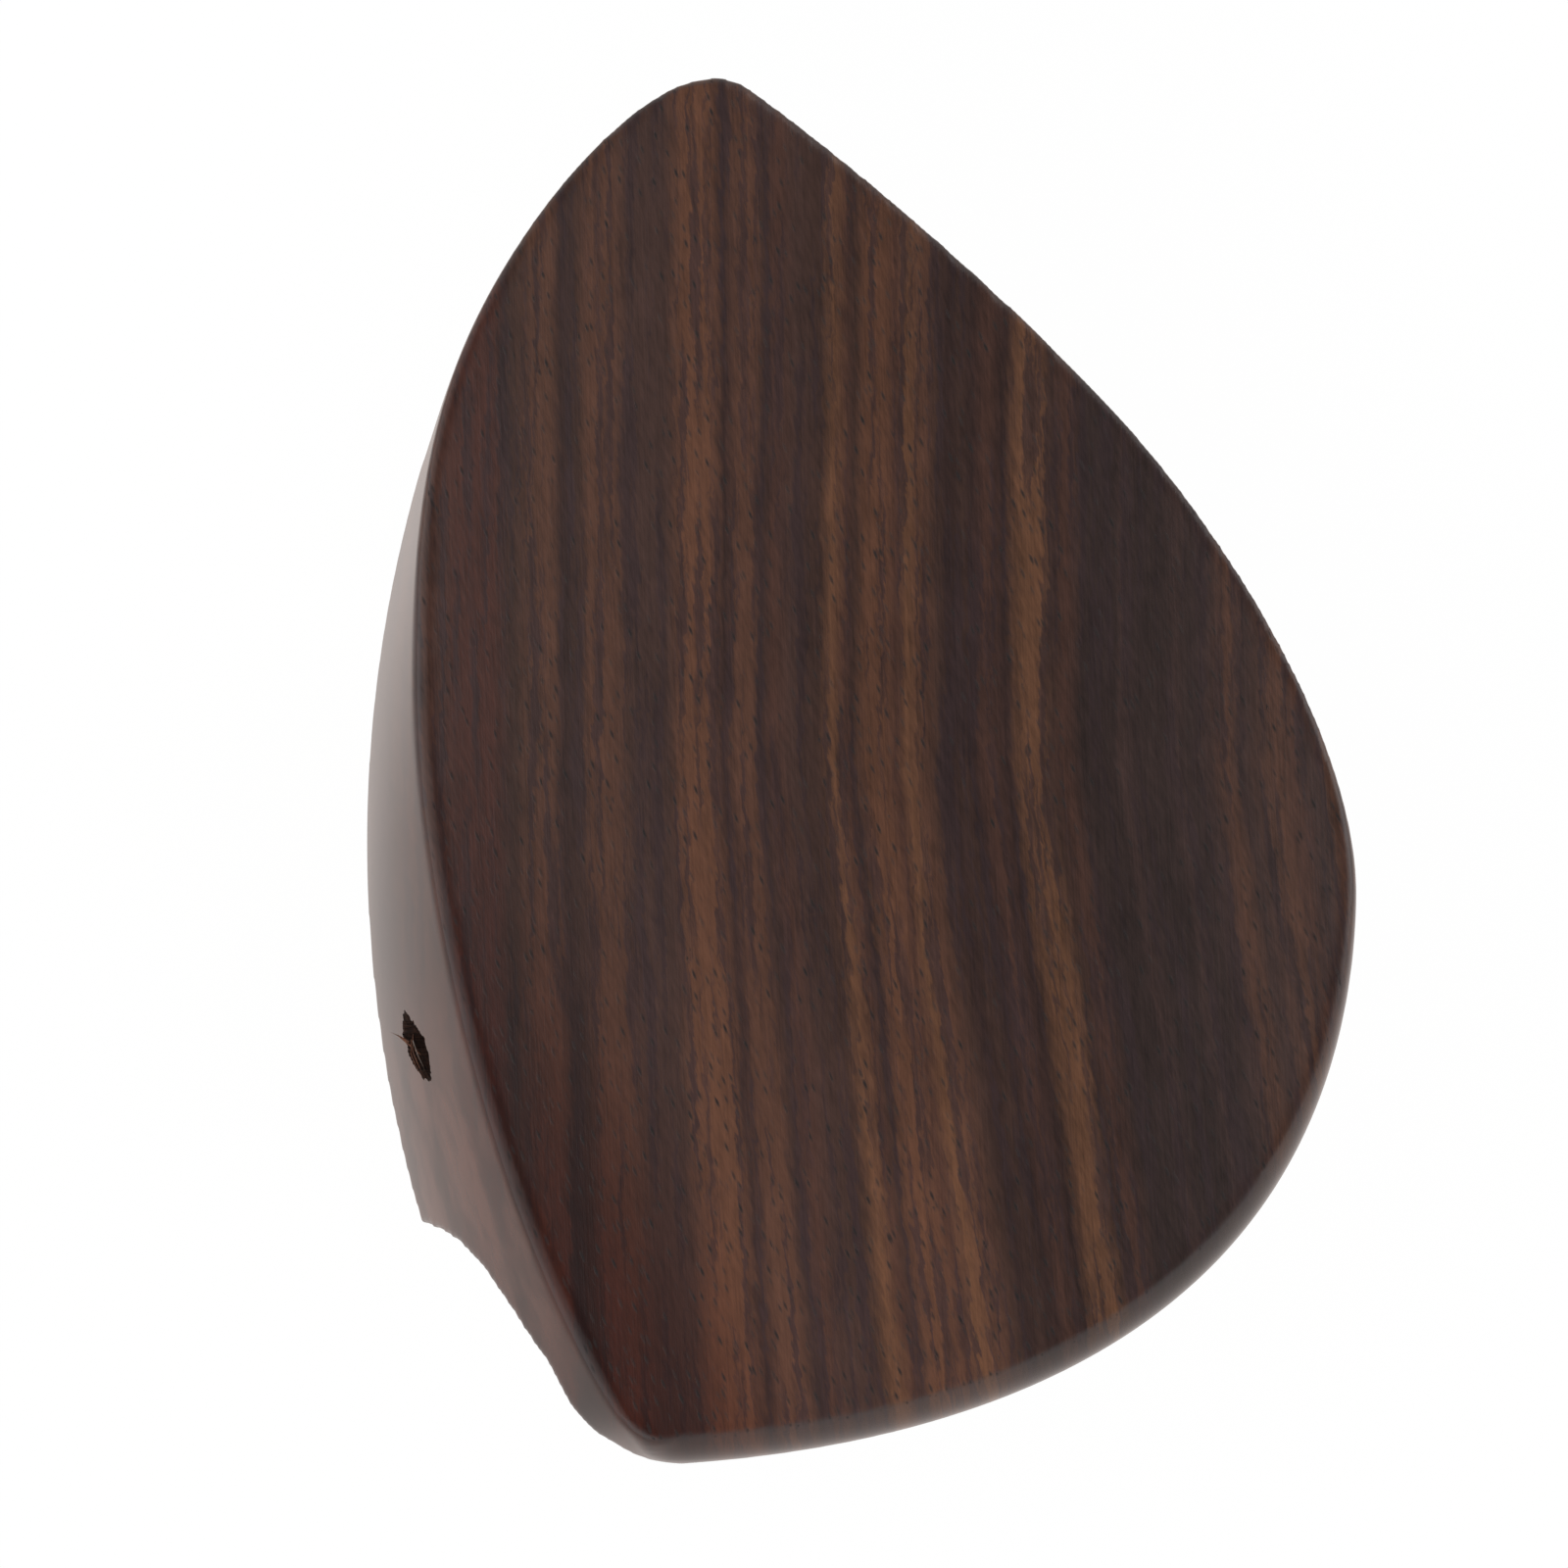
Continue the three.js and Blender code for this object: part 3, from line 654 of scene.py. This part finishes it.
def underside_point(radius, angle):
    """The carved underside, from the foot's lower face up to the plate."""
    x = ARC_CENTRE - radius * math.cos(angle)
    y = radius * math.sin(angle)
    plain = bowl_height(x, y, UNDERSIDE)
    past = clamp01((abs(angle) - FOOT_END) * ARC_RADIUS / FOOT_END_RUN)
    past_end = (past ** 3 / (past ** 2 + FOOT_EASED)) ** 0.25
    past_inner = clamp01((FOOT_INNER - radius) / FOOT_INNER_RUN) ** 0.5
    rise = 1 - (1 - past_end) * (1 - past_inner)
    return (x, y, FOOT_BOTTOM + (plain - FOOT_BOTTOM) * rise)


def underside_cut():
    """What is carved away beneath the plate and round the foot."""
    end_run = FOOT_END_RUN / ARC_RADIUS
    far = math.pi / 3
    half = [FOOT_END + end_run * (i / 24) ** 3 for i in range(25)]
    half += [FOOT_END + end_run + (far - FOOT_END - end_run) * (i + 1) / 24 for i in range(24)]
    middle = [FOOT_END * (2 * (i + 1) / 24 - 1) for i in range(23)]
    angles = [-angle for angle in reversed(half)] + middle + half
    inner = ARC_CENTRE - PLATE_LEFT - PLATE_WIDTH - PLATE_UNDERCUT
    over_foot = ARC_RADIUS - 12.0
    radii = [ARC_RADIUS + PLATE_UNDERCUT + FOOT_END_RUN, over_foot]
    radii += [FOOT_INNER - FOOT_INNER_RUN * (i / 24) ** 3 for i in range(25)]
    start = radii[-1]
    radii += [start + (inner - start) * (i + 1) / 30 for i in range(30)]
    across = len(angles)
    top = [underside_point(radius, angle) for radius in radii for angle in angles]
    points = top + [(x, y, -1.0) for x, y, _ in top]
    layer = len(top)
    faces = []
    for r in range(len(radii) - 1):
        for a in range(across - 1):
            c = r * across + a
            faces.append((c, c + across, c + across + 1, c + 1))
            faces.append((layer + c, layer + c + 1, layer + c + across + 1, layer + c + across))
        left, right = r * across, r * across + across - 1
        faces.append((left, layer + left, layer + left + across, left + across))
        faces.append((right, right + across, layer + right + across, layer + right))
    last = (len(radii) - 1) * across
    for a in range(across - 1):
        faces.append((a, a + 1, layer + a + 1, layer + a))
        faces.append((last + a, layer + last + a, layer + last + a + 1, last + a + 1))
    return make_piece("underside_cut", points, faces)


def stadium(length, width):
    """The outline of a bar over the legs, with round ends and longer along Y."""
    radius = width / 2
    straight = length / 2 - radius
    return arc(LEG_X, straight, radius, 0, 180, 40) + arc(LEG_X, -straight, radius, 180, 360, 40)


def merged(name, pieces):
    """One piece from several that overlap."""
    first = pieces[0]
    for other in pieces[1:]:
        modify(first, "BOOLEAN", operation="UNION", solver="EXACT", object=other)
        bpy.data.objects.remove(other)
    first.name = name
    return first


def bracket_seat():
    """The pocket in the foot for the upper bracket, with holes for its screws and the legs' ends."""
    outline = stadium(BAR_LENGTH + 2 * SEAT_GAP, BAR_WIDTH + 2 * SEAT_GAP)
    parts = [prism("seat", outline, FOOT_BOTTOM - 1, BAR_TOP)]
    screw = [(0, FOOT_BOTTOM), (SCREW_HOLE, FOOT_BOTTOM), (SCREW_HOLE, 13.8), (0, 14.4)]
    leg_end = [(0, FOOT_BOTTOM), (LEG_HOLE, FOOT_BOTTOM), (LEG_HOLE, 4.8), (0, 4.8)]
    parts += [turned("screw_hole", screw, 32, LEG_X, y) for y in (-SCREW_Y, SCREW_Y)]
    parts += [turned("leg_hole", leg_end, 32, LEG_X, y) for y in (-LEG_Y, LEG_Y)]
    return merged("bracket_seat", parts)


# The side hole's torn edge, as (along Y, height) from its middle, going round
TORN_EDGE = [
    (2.95, -1.1), (2.5, -0.2), (1.9, 0.9), (1.25, 1.8), (0.7, 2.6), (-0.3, 2.8), (-1.4, 2.7), (-2.3, 2.5),
    (-3.05, 1.9), (-2.4, 0.0), (-1.9, -1.1), (-0.7, -2.2), (0.1, -2.2), (0.95, -2.9), (1.7, -2.5),
    (2.15, -2.2),
]
HOLE_Y = -17.0
HOLE_Z = 14.2
HOLE_DEPTH = 11.0
HOLE_RADIUS = 2.35
# The drill starts this far outside the wall, and its point goes this far past the hole's depth
HOLE_LEAD = 2.5
HOLE_POINT = 1.2


def wall_point(wall, along, up, out):
    """A point off the outer wall, placed from the side hole's middle."""
    y, z = HOLE_Y + along, HOLE_Z + up
    hit = wall.ray_cast(Vector((-60 * MM, y * MM, z * MM)), Vector((1, 0, 0)))[0]
    return (hit.x / MM - out, y, z)


def side_hole(draw, wall):
    """What the drill took out of the outer wall: torn at the mouth, rough and rounder further in."""
    sides = 112
    mouth = []
    for i in range(sides):
        place = i / sides * len(TORN_EDGE)
        k = int(place)
        a, b = TORN_EDGE[k], TORN_EDGE[(k + 1) % len(TORN_EDGE)]
        mouth.append(tuple(a[c] + (b[c] - a[c]) * (place - k) for c in range(2)))
    tears = [draw.uniform(-0.14, 0.14) for _ in range(sides)]
    face = wall_point(wall, 0, 0, 0)[0]
    rows = []
    for depth in spread(30):
        deep = depth * (HOLE_DEPTH + HOLE_LEAD) - HOLE_LEAD
        rounder = smooth(deep, 0.2, 4.5)
        row = []
        for i, (y, z) in enumerate(mouth):
            angle = math.atan2(z, y)
            rough = 0.25 * noise.noise(Vector((y * 1.3, z * 1.3, deep * 0.6)))
            fray = tears[i] * (1 - 0.6 * rounder)
            length = math.hypot(y, z) * (1 - rounder) + HOLE_RADIUS * rounder + rough + fray
            row.append((face + deep, HOLE_Y + length * math.cos(angle), HOLE_Z + length * math.sin(angle)))
        rows.append(row)
    first = (rows[0][0][0], HOLE_Y, HOLE_Z)
    last = (rows[-1][0][0] + HOLE_POINT, HOLE_Y, HOLE_Z)
    return loft("side_hole", rows, first, last)


# Fibres left standing in the side hole: points as (along Y, height, out of the wall), width and thickness
FIBRES = {
    "torn_spike": ([(-0.6, -0.6, -0.5), (0.3, -1.3, 0.15), (0.9, -2.2, 0.5), (1.2, -2.6, 1.0)], 0.22, 0.16),
    "torn_spike_tip": ([(0.4, -1.1, 0.1), (0.8, -2.0, 0.4), (1.0, -2.5, 0.6)], 0.16, 0.12),
    "torn_strip": ([(1.0, -0.6, -0.25), (-0.4, -0.3, 0.15), (-1.7, 0.3, 0.1), (-2.8, 1.0, 0.1)], 0.34, 0.12),
    "torn_thread": ([(0.6, -0.9, -0.1), (-0.6, -0.8, 0.2), (-1.9, -0.2, 0.12), (-2.6, 0.5, 0.05)], 0.2, 0.1),
}
PALE_FIBRE = ([(0.5, -0.1, 0.05), (-0.7, 0.6, 0.12), (-2.0, 1.3, 0.05)], 0.12, 0.08)


def carved_wood(draw, raw):
    """The plate and foot in one piece of wood, its edges eased by sanding, and the faces it was carved to.
    The even skin is drawn back to those faces, except where it rounds an edge."""
    wood = carved_block()
    cut(wood, underside_cut())
    faces = BVHTree.FromObject(wood, bpy.context.evaluated_depsgraph_get())
    modify(wood, "REMESH", mode="VOXEL", voxel_size=0.4 * MM)
    modify(wood, "SMOOTH", factor=0.5, iterations=5)
    for vertex in wood.data.vertices:
        near, _, _, distance = faces.find_nearest(vertex.co)
        vertex.co = near.lerp(vertex.co, smooth(distance / MM, *EDGE_ROUNDING))
    modify(wood, "SMOOTH", factor=0.5, iterations=9)
    hole = side_hole(draw, faces)
    seat = bracket_seat()
    for cutter in (seat, hole):
        cutter.data.materials.clear()
        cutter.data.materials.append(raw)
    wood.data.materials.clear()
    wood.data.materials.append(rosewood)
    cut(wood, seat, hole)
    shade(wood, 40)
    return wood, faces


def splinter(name, points, width, thickness, material):
    """A torn fibre: a flat sliver along its points, tapering to nothing at its free end."""
    steps = 14
    rings = []
    for share in spread(steps):
        place = share * (len(points) - 1)
        k = min(int(place), len(points) - 2)
        centre = Vector(points[k]).lerp(Vector(points[k + 1]), place - k)
        run = (Vector(points[k + 1]) - Vector(points[k])).normalized()
        side = run.cross(Vector((1, 0, 0.3))).normalized()
        up = run.cross(side)
        slim = 1 - 0.92 * smooth(share, 0.35, 1)
        half, deep = width / 2 * slim, thickness / 2 * slim
        corners = [(half, 0), (half * 0.4, deep), (-half * 0.5, deep * 0.9), (-half, 0)]
        corners.append((-half * 0.3, -deep))
        rings.append([tuple(centre + side * a + up * b) for a, b in corners])
    piece = loft(name, rings, points[0], points[-1])
    shade(piece, 50)
    return finish_piece(piece, material, "rosewood", "chinrest")


# The clamp

def threaded(name, rows, pitch, hand, x, y, sides=48):
    """A round piece from (radius, height, groove depth) rows; hand is 1 for a right-hand groove."""
    rings = []
    for radius, height, depth in rows:
        ring = []
        for i in range(sides):
            angle = 2 * math.pi * i / sides
            phase = abs(2 * ((height / pitch - hand * i / sides) % 1) - 1)
            reach = radius - depth * clamp01((phase - 0.12) / 0.76)
            ring.append((x + reach * math.cos(angle), y + reach * math.sin(angle), height))
        rings.append(ring)
    ends = [(x, y, rows[0][1]), (x, y, rows[-1][1])]
    if rows[0][1] > rows[-1][1]:
        rings.reverse()
        ends.reverse()
    return loft(name, rings, *ends)


def leg(name, node, body, face, reach, hand, spigot):
    """A leg: thread towards its barrel, collar on its bracket, end riveted through it.
    Reach is 1 upwards and -1 downwards."""
    box = [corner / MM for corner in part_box(node)]
    y = (box[0][1] + box[1][1]) / 2
    tip = face + reach * LEG_REACH
    collar = face + reach * LEG_COLLAR
    rows = [(1.2, tip, 0), (1.5, tip - reach * 0.05, 0)]
    for share in spread(300):
        height = tip - reach * (0.1 + (tip - collar) * reach * 0.985 * share)
        radius = min(THREAD_RADIUS, 1.5 + abs(height - tip))
        rows.append((radius, height, THREAD_DEPTH * smooth(abs(height - collar), 0.3, 1.0)))
    profile = [(1.75, collar + reach * 0.06), (2.55, collar + reach * 0.02), (2.7, collar - reach * 0.05)]
    profile += [(2.8, collar - reach * 0.2), (2.8, face + reach * 0.2), (2.7, face + reach * 0.06)]
    profile += [(1.5, face), (1.5, face - reach * (spigot - 0.5)), (1.78, face - reach * (spigot - 0.12))]
    profile += [(1.5, face - reach * spigot)]
    rows += [(radius, height, 0) for radius, height in profile]
    piece = threaded(name, rows, THREAD_PITCH, hand, LEG_X, y)
    shade(piece, 40)
    return finish_piece(piece, nickel, "nickel_plate", body, node)


def barrel(name, node):
    """A turned barrel with a bore right through and two crossed holes for the key."""
    box = [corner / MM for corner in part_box(node)]
    y = (box[0][1] + box[1][1]) / 2
    low, high = box[0][2], box[1][2]
    ends = [(2.5, 0.0), (2.6, 0.02), (2.72, 0.12), (3.12, 0.5), (3.22, 0.64), (3.25, 0.8)]
    profile = [(2.12, low + 0.3), (2.3, low + 0.02)] + [(r, low + h) for r, h in ends]
    profile += [(r, high - h) for r, h in reversed(ends)]
    profile += [(2.3, high - 0.02), (2.12, high - 0.3), (2.12, low + 0.3)]
    piece = turned(name, profile, 96, LEG_X, y)
    middle = (low + high) / 2
    mouth = [(0, -4.5), (1.35, -4.5), (1.35, -3.25), (1.12, -3.12), (1.0, -2.95)]
    key = mouth + [(r, -h) for r, h in reversed(mouth)]
    for rise, axis in ((KEY_HOLE_RISE, "X"), (-KEY_HOLE_RISE, "Y")):
        hole = turned("key_hole", key, 40)
        place = Matrix.Translation((LEG_X * MM, y * MM, (middle + rise) * MM))
        hole.data.transform(place @ Matrix.Rotation(math.pi / 2, 4, axis))
        cut(piece, hole)
    shade(piece, 32)
    return finish_piece(piece, nickel, "nickel_plate", node, node)


def pressed_plate(name, outline, low, high, holes, node, body):
    """A steel bracket with eased edges and chamfered holes; a hole is (y, profile from below)."""
    plate = prism(name, outline, low, high)
    square = math.radians(60)
    modify(plate, "BEVEL", width=0.28 * MM, segments=3, limit_method="ANGLE", angle_limit=square)
    cut(plate, *[turned("hole", profile, 48, LEG_X, y) for y, profile in holes])
    shade(plate, 32)
    return finish_piece(plate, nickel, "nickel_plate", body, node)


def through_hole(low, high):
    """A leg's hole, chamfered at both ends."""
    ease = 0.18
    wide = LEG_HOLE + ease + 1
    return [(0, low - 1), (wide, low - 1), (LEG_HOLE, low + ease), (LEG_HOLE, high - ease),
            (wide, high + 1), (0, high + 1)]


def jaw_outline():
    """The lower bracket from above: its outer edge follows the violin's and its corners are round."""
    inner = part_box("lower_bracket")[1][0] / MM
    outer_radius = ARC_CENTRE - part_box("lower_bracket")[0][0] / MM
    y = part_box("lower_bracket")[1][1] / MM - JAW_CORNER
    turn = math.degrees(math.asin(y / (outer_radius - JAW_CORNER)))
    x = ARC_CENTRE - (outer_radius - JAW_CORNER) * math.cos(math.radians(turn))
    outline = arc(inner - JAW_CORNER, y, JAW_CORNER, 0, 90, 12)
    outline += arc(x, y, JAW_CORNER, 90, 180 - turn, 12)[:-1]
    outline += arc(ARC_CENTRE, 0, outer_radius, 180 - turn, 180 + turn, 60)
    outline += arc(x, -y, JAW_CORNER, 180 + turn, 270, 12)[1:]
    return outline + arc(inner - JAW_CORNER, -y, JAW_CORNER, 270, 360, 12)


def brackets():
    """The bar let into the foot, and the jaw's plate."""
    sunk = [(0, FOOT_BOTTOM - 1), (3.1, FOOT_BOTTOM - 1), (2.9, FOOT_BOTTOM + 0.12), (2.9, FOOT_BOTTOM + 0.3),
            (SCREW_HOLE, FOOT_BOTTOM + 1.5), (SCREW_HOLE, BAR_TOP + 1), (0, BAR_TOP + 1)]
    holes = [(y, through_hole(FOOT_BOTTOM, BAR_TOP)) for y in (-LEG_Y, LEG_Y)]
    holes += [(y, sunk) for y in (-SCREW_Y, SCREW_Y)]
    bar = stadium(BAR_LENGTH, BAR_WIDTH)
    pressed_plate("upper_bracket_bar", bar, FOOT_BOTTOM, BAR_TOP, holes, "upper_bracket", "chinrest")
    holes = [(y, through_hole(JAW_LOW, JAW_TOP)) for y in (-LEG_Y, LEG_Y)]
    pressed_plate("lower_bracket_plate", jaw_outline(), JAW_LOW, JAW_TOP, holes, "lower_bracket", "jaw")


def wood_screw(name, node, y):
    """A countersunk wood screw, head down, with a straight slot."""
    low, high = FOOT_BOTTOM, FOOT_BOTTOM + SCREW_LENGTH
    rows = [(2.45, low, 0), (2.6, low + 0.1, 0), (2.6, low + 0.3, 0), (1.5, low + 1.42, 0)]
    rows.append((1.4, low + 1.55, 0))
    for share in spread(150):
        height = low + 2.2 + (high - low - 2.3) * share
        core = 1.4 - 0.8 * smooth(height, high - 3.4, high)
        rows.append((core, height, 0.38 * smooth(height, low + 2.2, low + 3.4)))
    rows.append((0.2, high, 0))
    piece = threaded(name, rows, SCREW_PITCH, 1, LEG_X, y, 40)
    slot = [(-0.4, -4.0), (0.4, -4.0), (0.4, 4.0), (-0.4, 4.0)]
    cutter = prism("slot", [(LEG_X + a, y + b) for a, b in slot], low - 1, low + 0.7)
    turn = Matrix.Rotation(math.radians(35 if y > 0 else -20), 4, "Z")
    turn = Matrix.Translation((LEG_X * MM, y * MM, 0)) @ turn
    cutter.data.transform(turn @ Matrix.Translation((-LEG_X * MM, -y * MM, 0)))
    cut(piece, cutter)
    shade(piece, 32)
    return finish_piece(piece, zinc, "screw_steel", "chinrest", node)


def cork_pad(name, node, body, half_degrees, low, high):
    """A pad of pressed cork along the violin's edge, its cut edges slightly crumbled."""
    outline = arc(ARC_CENTRE, 0, PAD_OUTER, 180 - half_degrees, 180 + half_degrees, 90)
    outline += arc(ARC_CENTRE, 0, PAD_INNER, 180 + half_degrees, 180 - half_degrees, 90)
    pad = prism(name, outline, low + 0.03, high - 0.03)
    modify(pad, "REMESH", mode="VOXEL", voxel_size=0.3 * MM)
    modify(pad, "SMOOTH", factor=0.5, iterations=3)
    for vertex, normal in zip(pad.data.vertices, [v.normal.copy() for v in pad.data.vertices]):
        place = vertex.co / MM
        ripple = noise.noise(place * 0.9) + 0.6 * noise.noise(place * 2.3)
        pit = smooth(noise.noise(place * 1.6 + Vector((7, 3, 1))), 0.28, 0.5)
        vertex.co -= normal * (0.05 + 0.05 * ripple + 0.16 * pit) * MM
    shade(pad, 60)
    return finish_piece(pad, cork, "cork", body, node)


# Making the chinrest

draw = random.Random(11)
wood, wall = carved_wood(draw, raw_wood)
finish_piece(wood, rosewood, "rosewood", "chinrest", "plate_and_foot")
for name, (points, width, thickness) in FIBRES.items():
    splinter(name, [wall_point(wall, *point) for point in points], width, thickness, torn_fibre)
points, width, thickness = PALE_FIBRE
splinter("torn_pale_thread", [wall_point(wall, *point) for point in points], width, thickness, pale_fibre)
cork_pad("foot_cork_pad", "foot_cork", "chinrest", FOOT_CORK_HALF, 0, FOOT_BOTTOM)
cork_pad("jaw_cork_pad", "jaw_cork", "jaw", JAW_CORK_HALF, JAW_TOP, JAW_TOP + CORK_THICKNESS)
brackets()
for end, side in (("corner", -1), ("tip", 1)):
    wood_screw("bracket_screw_" + end + "_turned", "bracket_screw_" + end, side * SCREW_Y)
    leg("upper_leg_" + end + "_threaded", "upper_leg_" + end, "chinrest", FOOT_BOTTOM, -1, 1, 2.0)
    leg("lower_leg_" + end + "_threaded", "lower_leg_" + end, "jaw", JAW_TOP, 1, -1, 2.4)
    barrel("barrel_" + end + "_turned", "barrel_" + end)


# Floor, light and camera

# The floor lies just clear of the jaw at its lowest
FLOOR = JAW_LOW - JAW_TRAVEL - 0.2
FLOOR_REACH = 4000
AIM = (15.4, 3.8, 25.0)
CAMERA_AWAY = 600
CAMERA_TILT = (math.radians(6.5), math.radians(3))
SENSOR = 36.0
LENS = 172.8


def white_paper():
    """A matt paper sweep. The lens burns it out to white, but polished wood and metal mirror it as a warmer
    and duller white. From beneath it is clear, so that the underside of the clamp can be looked at."""
    paper = bpy.data.materials.new("white_paper_sweep")
    paper.use_nodes = True
    tree = paper.node_tree
    tree.nodes.clear()
    seen = add(tree, "ShaderNodeLightPath").outputs
    mirrored = maths(tree, "MAXIMUM", seen["Is Camera Ray"], seen["Is Glossy Ray"])
    shown = maths(tree, "MAXIMUM", mirrored, seen["Is Transmission Ray"])
    matt = add(tree, "ShaderNodeBsdfDiffuse", {"Color": (0.9, 0.9, 0.9, 1)}).outputs[0]
    white = mixed(tree, seen["Is Glossy Ray"], (1, 1, 1, 1), hex_colour("#f0e5e0"))
    glow = add(tree, "ShaderNodeEmission", {"Color": white, "Strength": 1.03}).outputs[0]
    share = product(tree, shown, 0.93)
    sheet = add(tree, "ShaderNodeMixShader", {0: share, 1: matt, 2: glow}).outputs[0]
    beneath = add(tree, "ShaderNodeNewGeometry").outputs["Backfacing"]
    clear = add(tree, "ShaderNodeBsdfTransparent").outputs[0]
    give_finish(tree, add(tree, "ShaderNodeMixShader", {0: beneath, 1: sheet, 2: clear}))
    return paper


def studio_world():
    """A bright room that mirrors white at eye level and grey overhead, where a dark ceiling is."""
    world = bpy.data.worlds.new("studio")
    world.use_nodes = True
    tree = world.node_tree
    tree.nodes.clear()
    way = add(tree, "ShaderNodeTexCoord").outputs["Generated"]
    height = add(tree, "ShaderNodeSeparateXYZ", {0: way}).outputs[2]
    room = add(tree, "ShaderNodeValToRGB", {0: height}, stops=[
        (0.0, "#ffffff"), (0.35, "#e8e8e8"), (0.7, "#787878"), (1.0, "#3c3c3c")]).outputs[0]
    path = add(tree, "ShaderNodeLightPath").outputs
    gloss = mixed(tree, path["Is Glossy Ray"], (0.45, 0.45, 0.45, 1), room)
    clear = maths(tree, "MAXIMUM", path["Is Camera Ray"], path["Is Transmission Ray"])
    light = mixed(tree, clear, gloss, (1, 1, 1, 1))
    glow = add(tree, "ShaderNodeBackground", {"Color": light, "Strength": 1.0})
    add(tree, "ShaderNodeOutputWorld", {"Surface": glow.outputs[0]})
    return world


def look(thing, place):
    """Puts a camera or lamp at a place in millimetres, facing the chinrest with +Y up."""
    back = (Vector(place) - Vector(AIM)).normalized()
    across = Vector((0, 1, 0)).cross(back).normalized()
    turn = Matrix((across, back.cross(across), back)).transposed().to_4x4()
    thing.matrix_world = Matrix.Translation(Vector(place) * MM) @ turn


def lamp(name, place, size, watts):
    data = bpy.data.lights.new(name, "AREA")
    data.shape = "RECTANGLE"
    data.size, data.size_y = size[0] * MM, size[1] * MM
    data.energy = watts
    thing = bpy.data.objects.new(name, data)
    bpy.context.collection.objects.link(thing)
    look(thing, place)


corners = [(-1, -1), (1, -1), (1, 1), (-1, 1)]
floor = make_piece("floor", [(a * FLOOR_REACH, b * FLOOR_REACH, FLOOR) for a, b in corners], [(0, 1, 2, 3)])
floor.data.materials.append(white_paper())
bpy.context.scene.world = studio_world()

lamp("soft_box_left", (-1150, -250, 820), (2900, 2400), 12.2)
lamp("soft_box_right", (1000, 270, 400), (900, 650), 2.2)
lamp("soft_box_front", (-200, -920, 460), (900, 600), 1.5)

view = bpy.data.cameras.new("camera")
view.sensor_width = SENSOR
view.lens = LENS
view.clip_end = 50
camera = bpy.data.objects.new("camera", view)
bpy.context.collection.objects.link(camera)
away = Vector((-math.tan(CAMERA_TILT[0]), -math.tan(CAMERA_TILT[1]), 1)).normalized()
look(camera, Vector(AIM) + away * CAMERA_AWAY)
bpy.context.scene.camera = camera
bpy.context.scene.view_settings.view_transform = "Standard"
